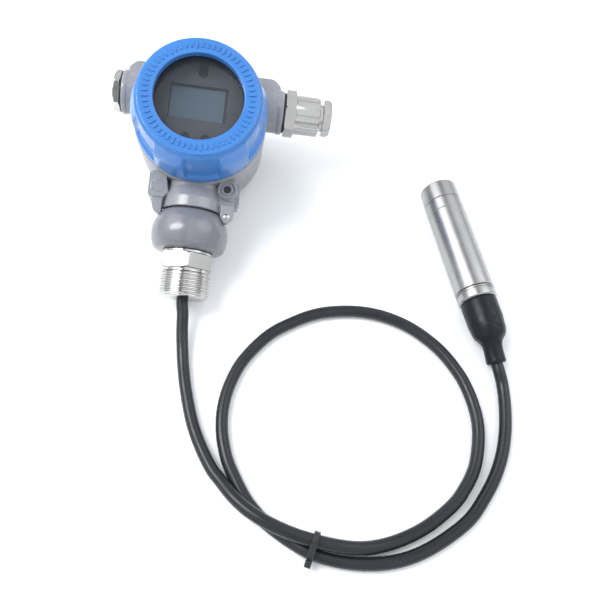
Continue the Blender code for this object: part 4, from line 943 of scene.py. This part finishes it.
def entries():
    """The blind plug on the left and the cable gland on the right."""
    plug = [
        (0, 46.7), (9.2, 46.7), (9.9, 47.4), (9.9, 55.6), (13.6, 55.6, 0.2), (14.2, 56.0, 0.3),
        (14.2, 58.6, 0.4), (12.4, 59.9, 0.4), (10.4, 59.9, 0.3), (9.8, 59.4, 0.3), (0, 59.3),
    ]
    plug_skin = lathe(eased(plug), 144, hexagonal(PLUG_FLATS, 55.6, 59.9, ENTRY_TURN))
    show("plug_skin", plug_skin, NICKEL, "plug", LEFT_ENTRY, ("blind_plug",))
    body = [
        (6.2, 45.2), (9.2, 45.2), (9.9, 46.0), (9.9, 55.6), (15.4, 55.6, 0.2), (16.2, 56.3, 0.3),
        (16.2, 61.8, 0.3), (15.4, 62.5, 0.2), (13.2, 62.5), (13.25, 62.9), (13.25, 64.0), (13.25, 78.0),
        (13.1, 79.0), (12.5, 79.4), (9.3, 79.4), (9.3, 66.0), (6.2, 66.0),
    ]
    flats = hexagonal(GLAND_FLATS, 55.6, 62.5, ENTRY_TURN)

    def barrel(angle, radius, height):
        if height > BARREL_LOW * MM and radius > 12.0 * MM:
            phase = angle * FLUTE_COUNT / math.tau
            flute = 1 - smooth((abs(phase - round(phase)) - 0.14) / 0.16)
            full = min(1.0, (height / MM - BARREL_LOW) / 0.8, BARREL_END - height / MM)
            return radius - FLUTE_DEPTH * MM * flute * max(0.0, full)
        return flats(angle, radius, height)

    gland = lathe(eased(body), 240, barrel)
    show("gland_skin", gland, SHADED_GLAND_NICKEL, "base", RIGHT_ENTRY, ("gland_body",), 35.0)
    nut = [
        (6.2, 74.9), (8.6, 74.9), (9.0, 75.4), (9.0, 82.0), (12.2, 82.0, 0.2), (12.7, 82.5, 0.3),
        (12.7, 86.3, 0.4), (11.1, 87.7, 0.4), (7.4, 87.7, 0.4), (6.2, 86.6, 0.3),
    ]
    nut_skin = lathe(eased(nut), 144, hexagonal(NUT_FLATS, 82.0, 87.7, ENTRY_TURN))
    show("nut_skin", nut_skin, SHADED_GLAND_NICKEL, "gland_cap", RIGHT_ENTRY, ("gland_nut",))


# The nose cap's water holes, in millimetres
HOLE_RADIUS = 1.8
HOLE_REACH = 6.5


def probe():
    """The steel probe: the nose cap with its water holes, the tube with its fine joints, and the collar."""
    full = PROBE_RADIUS
    tube = [
        (11.0, 13.3), (12.7, 13.3), (full, 13.55), (full, 21.6), (12.75, 22.0), (full, 22.4), (full, 50.0),
        (full, 84.3), (12.5, 84.7), (11.0, 84.7),
    ]
    tube_skin = lathe(in_metres(tube), 160)
    show("probe_tube_skin", tube_skin, STEEL, "base", PROBE, ("probe_tube",))
    collar = [
        (0, 79.1), (4.3, 79.1), (4.3, TAIL_END), (9.5, TAIL_END, 0.4), (9.5, COLLAR_END),
        (12.1, COLLAR_END, 0.4), (full, 91.8, 0.4), (full, 87.5, 0.1), (12.2, 87.3, 0.1),
        (12.2, 86.6, 0.1), (full, 86.4, 0.1), (full, 85.7), (12.5, 85.3), (10.7, 85.3), (10.7, 76.1),
        (0, 76.1),
    ]
    show("probe_collar_skin", lathe(eased(collar), 160), STEEL, "base", PROBE, ("probe_collar",))
    nose = [(0, 0), (full, 0, 1.3), (full, 12.7), (12.7, 13.0), (11.2, 13.0), (11.2, 5.4), (0, 5.4)]
    cap = show("probe_nose_skin", lathe(eased(nose), 160), STEEL, "base", PROBE, ("probe_nose_cap",))
    tools = bmesh.new()
    for number in range(5):
        reach = 0.0 if number == 4 else HOLE_REACH
        angle = math.tau * number / 4
        block(tools, circle(reach * math.cos(angle), reach * math.sin(angle), HOLE_RADIUS), -1.0, 7.0)
    cut(cap, "holes", "nose_cutter", tools, PROBE)


def boot():
    """The shrunk boot: full over the collar's tail, slack behind it, then a sleeve with a rolled end."""
    stations = (
        (0.0, 11.5), (0.5, 11.85), (2.0, 12.0), (8.0, 11.95), (13.0, 11.85), (18.0, 11.4), (21.0, 10.95),
        (24.0, 10.2), (25.6, 9.2), (27.2, 7.9), (29.0, 6.9), (31.6, 6.3), (35.4, 6.2), (38.6, 6.3),
        (40.1, 6.4), (41.2, 6.15), (41.7, 5.6),
    )
    line = smooth_line([(s, r, 0) for s, r in stations], 0.5)
    sides = 96
    bm = bmesh.new()
    rings = []
    for inside in (False, True):
        rows = [(p.x, p.y) for p in line]
        for share, radius in reversed(rows) if inside else rows:
            along = BOOT_START + share
            if inside:
                radius = max(radius - BOOT_WALL, BOOT_SLEEVE_BORE)
                if along < TAIL_END + 1.5:
                    radius = max(radius, BOOT_TAIL_BORE)
            drop = line_height(along) - PROBE_RADIUS
            slope = math.atan2(line_height(along + 1) - line_height(along - 1), 2.0)
            ring = []
            for step in range(sides):
                angle = math.tau * step / sides
                reach = radius
                if not inside:
                    reach += boot_relief(share, angle, radius)
                rise = reach * math.sin(angle)
                x = -rise * math.cos(slope) - drop
                z = along - rise * math.sin(slope)
                ring.append(bm.verts.new((x * MM, reach * math.cos(angle) * MM, z * MM)))
            rings.append(ring)
    bridge(bm, rings)
    show("boot_skin", bm, BOOT, "base", PROBE, ("probe_boot",), 60.0)


# The boot's creases: start and end, as places along and across its side, then height and width
CREASES = (
    ((15.0, 0.6), (16.6, 2.2), 0.45, 0.45),
    ((16.6, 2.2), (15.2, 3.6), 0.4, 0.45),
    ((17.0, -0.8), (20.4, 4.6), 0.5, 0.5),
    ((25.0, 2.4), (27.0, 1.6), 0.25, 0.6),
)


def boot_relief(share, angle, radius):
    """The boot's creases, side bulge and slack waves, in millimetres.

    Angle 0 is its right side, and a quarter turn is its top.
    """
    across = radius * (math.pi / 2 - angle)
    bulge = 0.45 * math.exp(-((share - 22.5) / 4.5) ** 2) * max(0.0, math.cos(angle)) ** 2
    creases = 0.0
    for start, end, height, width in CREASES:
        a = Vector(start)
        b = Vector(end)
        here = Vector((share, across))
        t = min(1.0, max(0.0, (here - a).dot(b - a) / (b - a).length_squared))
        away = (here - a.lerp(b, t)).length
        creases += height * math.exp(-((away / width) ** 2))
        creases -= height * 0.5 * math.exp(-(((away - 1.5 * width) / width) ** 2))
    wave = noise.noise(Vector((share * 0.16, math.cos(angle) * 1.3, math.sin(angle) * 1.3)))
    slack = math.exp(-((share - 18.0) / 12.0) ** 2)
    return bulge + creases + 0.3 * wave * slack


# The sky's colour and brightness, and the dark gap overhead that metal parts mirror as a band
SKY_COLOUR = (0.93, 0.96, 1.0, 1.0)
SKY_LEVEL = 1.3
HORIZON_LEVEL = 0.55
GAP_PLACE = 0.12
GAP_CORE = 0.08
GAP_REACH = 0.3
GAP_LEVEL = 0.25


def studio_sky():
    """The room's soft light: pale all round, dimmer near the horizon, with a dark gap overhead."""
    world = bpy.data.worlds.new("studio")
    world.use_nodes = True
    nodes = world.node_tree.nodes
    links = world.node_tree.links
    way = nodes.new("ShaderNodeSeparateXYZ")
    links.new(nodes.new("ShaderNodeTexCoord").outputs["Generated"], way.inputs[0])

    def sum_of(operation, first, second):
        node = nodes.new("ShaderNodeMath")
        node.operation = operation
        for socket, value in zip(node.inputs, (first, second)):
            if isinstance(value, float):
                socket.default_value = value
            else:
                links.new(value, socket)
        return node.outputs[0]

    def ramp(value, start, stop, low, high):
        node = nodes.new("ShaderNodeMapRange")
        node.interpolation_type = "SMOOTHSTEP"
        for name, number in (("From Min", start), ("From Max", stop), ("To Min", low), ("To Max", high)):
            node.inputs[name].default_value = number
        links.new(value, node.inputs["Value"])
        return node.outputs["Result"]

    lean = sum_of("DIVIDE", way.outputs["X"], sum_of("MAXIMUM", way.outputs["Z"], 0.05))
    away = sum_of("ABSOLUTE", sum_of("ADD", lean, GAP_PLACE), 0.0)
    gap = ramp(away, GAP_CORE, GAP_REACH, GAP_LEVEL, 1.0)
    rise = ramp(way.outputs["Z"], 0.0, 0.6, HORIZON_LEVEL, 1.0)
    ambient = nodes["Background"]
    ambient.inputs["Color"].default_value = SKY_COLOUR
    links.new(sum_of("MULTIPLY", sum_of("MULTIPLY", gap, rise), SKY_LEVEL), ambient.inputs["Strength"])
    bpy.context.scene.world = world


# The table's half width in millimetres
TABLE_REACH = 1800

# Each lamp's name, place, aim, size and power, in metres and watts
LAMPS = (
    ("softbox_left", (-0.64, -0.04, 1.04), (-0.08, 0.0, 0.0), (0.42, 0.9), 9.5),
    ("softbox_wide", (-0.8, 0.45, 0.95), (0.0, -0.05, 0.0), (1.0, 1.0), 2.5),
    ("softbox_right", (0.95, 0.3, 0.9), (0.0, -0.05, 0.0), (0.9, 1.2), 3.5),
)


def floor_and_light():
    """A pale table and soft studio light from above."""
    floor_bm = bmesh.new()
    reach = TABLE_REACH
    block(floor_bm, [(-reach, -reach), (reach, -reach), (reach, reach), (-reach, reach)], -20.0, 0.0)
    mesh = bpy.data.meshes.new("table_top")
    bmesh.ops.recalc_face_normals(floor_bm, faces=floor_bm.faces)
    floor_bm.to_mesh(mesh)
    floor_bm.free()
    graph = Graph("table_finish")
    cloud = graph.span(graph.noise(3.0, 3.0), 0.0, 1.0)
    graph.set("Base Color", graph.blend(cloud, (0.92, 0.93, 0.95), (0.95, 0.955, 0.965)))
    graph.set("Roughness", graph.span(graph.noise(40.0, 3.0), 0.5, 0.6))
    mesh.materials.append(graph.material)
    table = bpy.data.objects.new("table_top", mesh)
    bpy.context.scene.collection.objects.link(table)
    studio_sky()
    for name, place, aim, size, power in LAMPS:
        data = bpy.data.lights.new(name, "AREA")
        data.shape = "ELLIPSE"
        data.size, data.size_y = size
        data.energy = power
        lamp = bpy.data.objects.new(name, data)
        bpy.context.scene.collection.objects.link(lamp)
        lamp.location = place
        lamp.rotation_euler = (Vector(aim) - Vector(place)).to_track_quat("-Z", "Y").to_euler()
    bpy.context.scene.view_settings.view_transform = "Standard"
    bpy.context.scene.view_settings.look = "None"


cover()
window()
shell()
neck()
below_neck()
entries()
probe()
boot()

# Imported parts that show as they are
CARRIED = {
    "cover_seal_ring": BLACK_RUBBER,
    "window_gasket": BLACK_RUBBER,
    "glass_retaining_ring": BLACK_RUBBER,
    "lcd_panel": LCD,
    # Painted shade on the display board and its screw
    "display_board": SHADED_BOARD,
    "display_screw": SHADED_BOARD,
    "display_post_1": BRASS,
    "display_post_2": BRASS,
    "display_post_3": BRASS,
    "terminal_board": BOARD,
    "board_standoff_1": BRASS,
    "board_standoff_2": BRASS,
    "board_standoff_3": BRASS,
    "terminal_block": WHITE,
    "terminal_screw_1": NICKEL,
    "terminal_screw_2": NICKEL,
    "terminal_screw_3": NICKEL,
    "signal_wire_red": RED,
    "signal_wire_black": BLACK_RUBBER,
    "neck_gasket": BLACK_RUBBER,
    "cable_seal": BLACK_RUBBER,
    "cable_clamp_screw": BRASS,
    "plug_gasket": BLACK_RUBBER,
    "gland_gasket": BLACK_RUBBER,
    "gland_seal": BLACK_RUBBER,
    "gland_blanking_disc": NICKEL,
    "gland_thrust_washer": BRASS,
    "sensor_capsule": NICKEL,
    "sensor_seal_ring": BLACK_RUBBER,
    "probe_board": BOARD,
}
for node, look in CARRIED.items():
    carried(node, look)
floor_and_light()
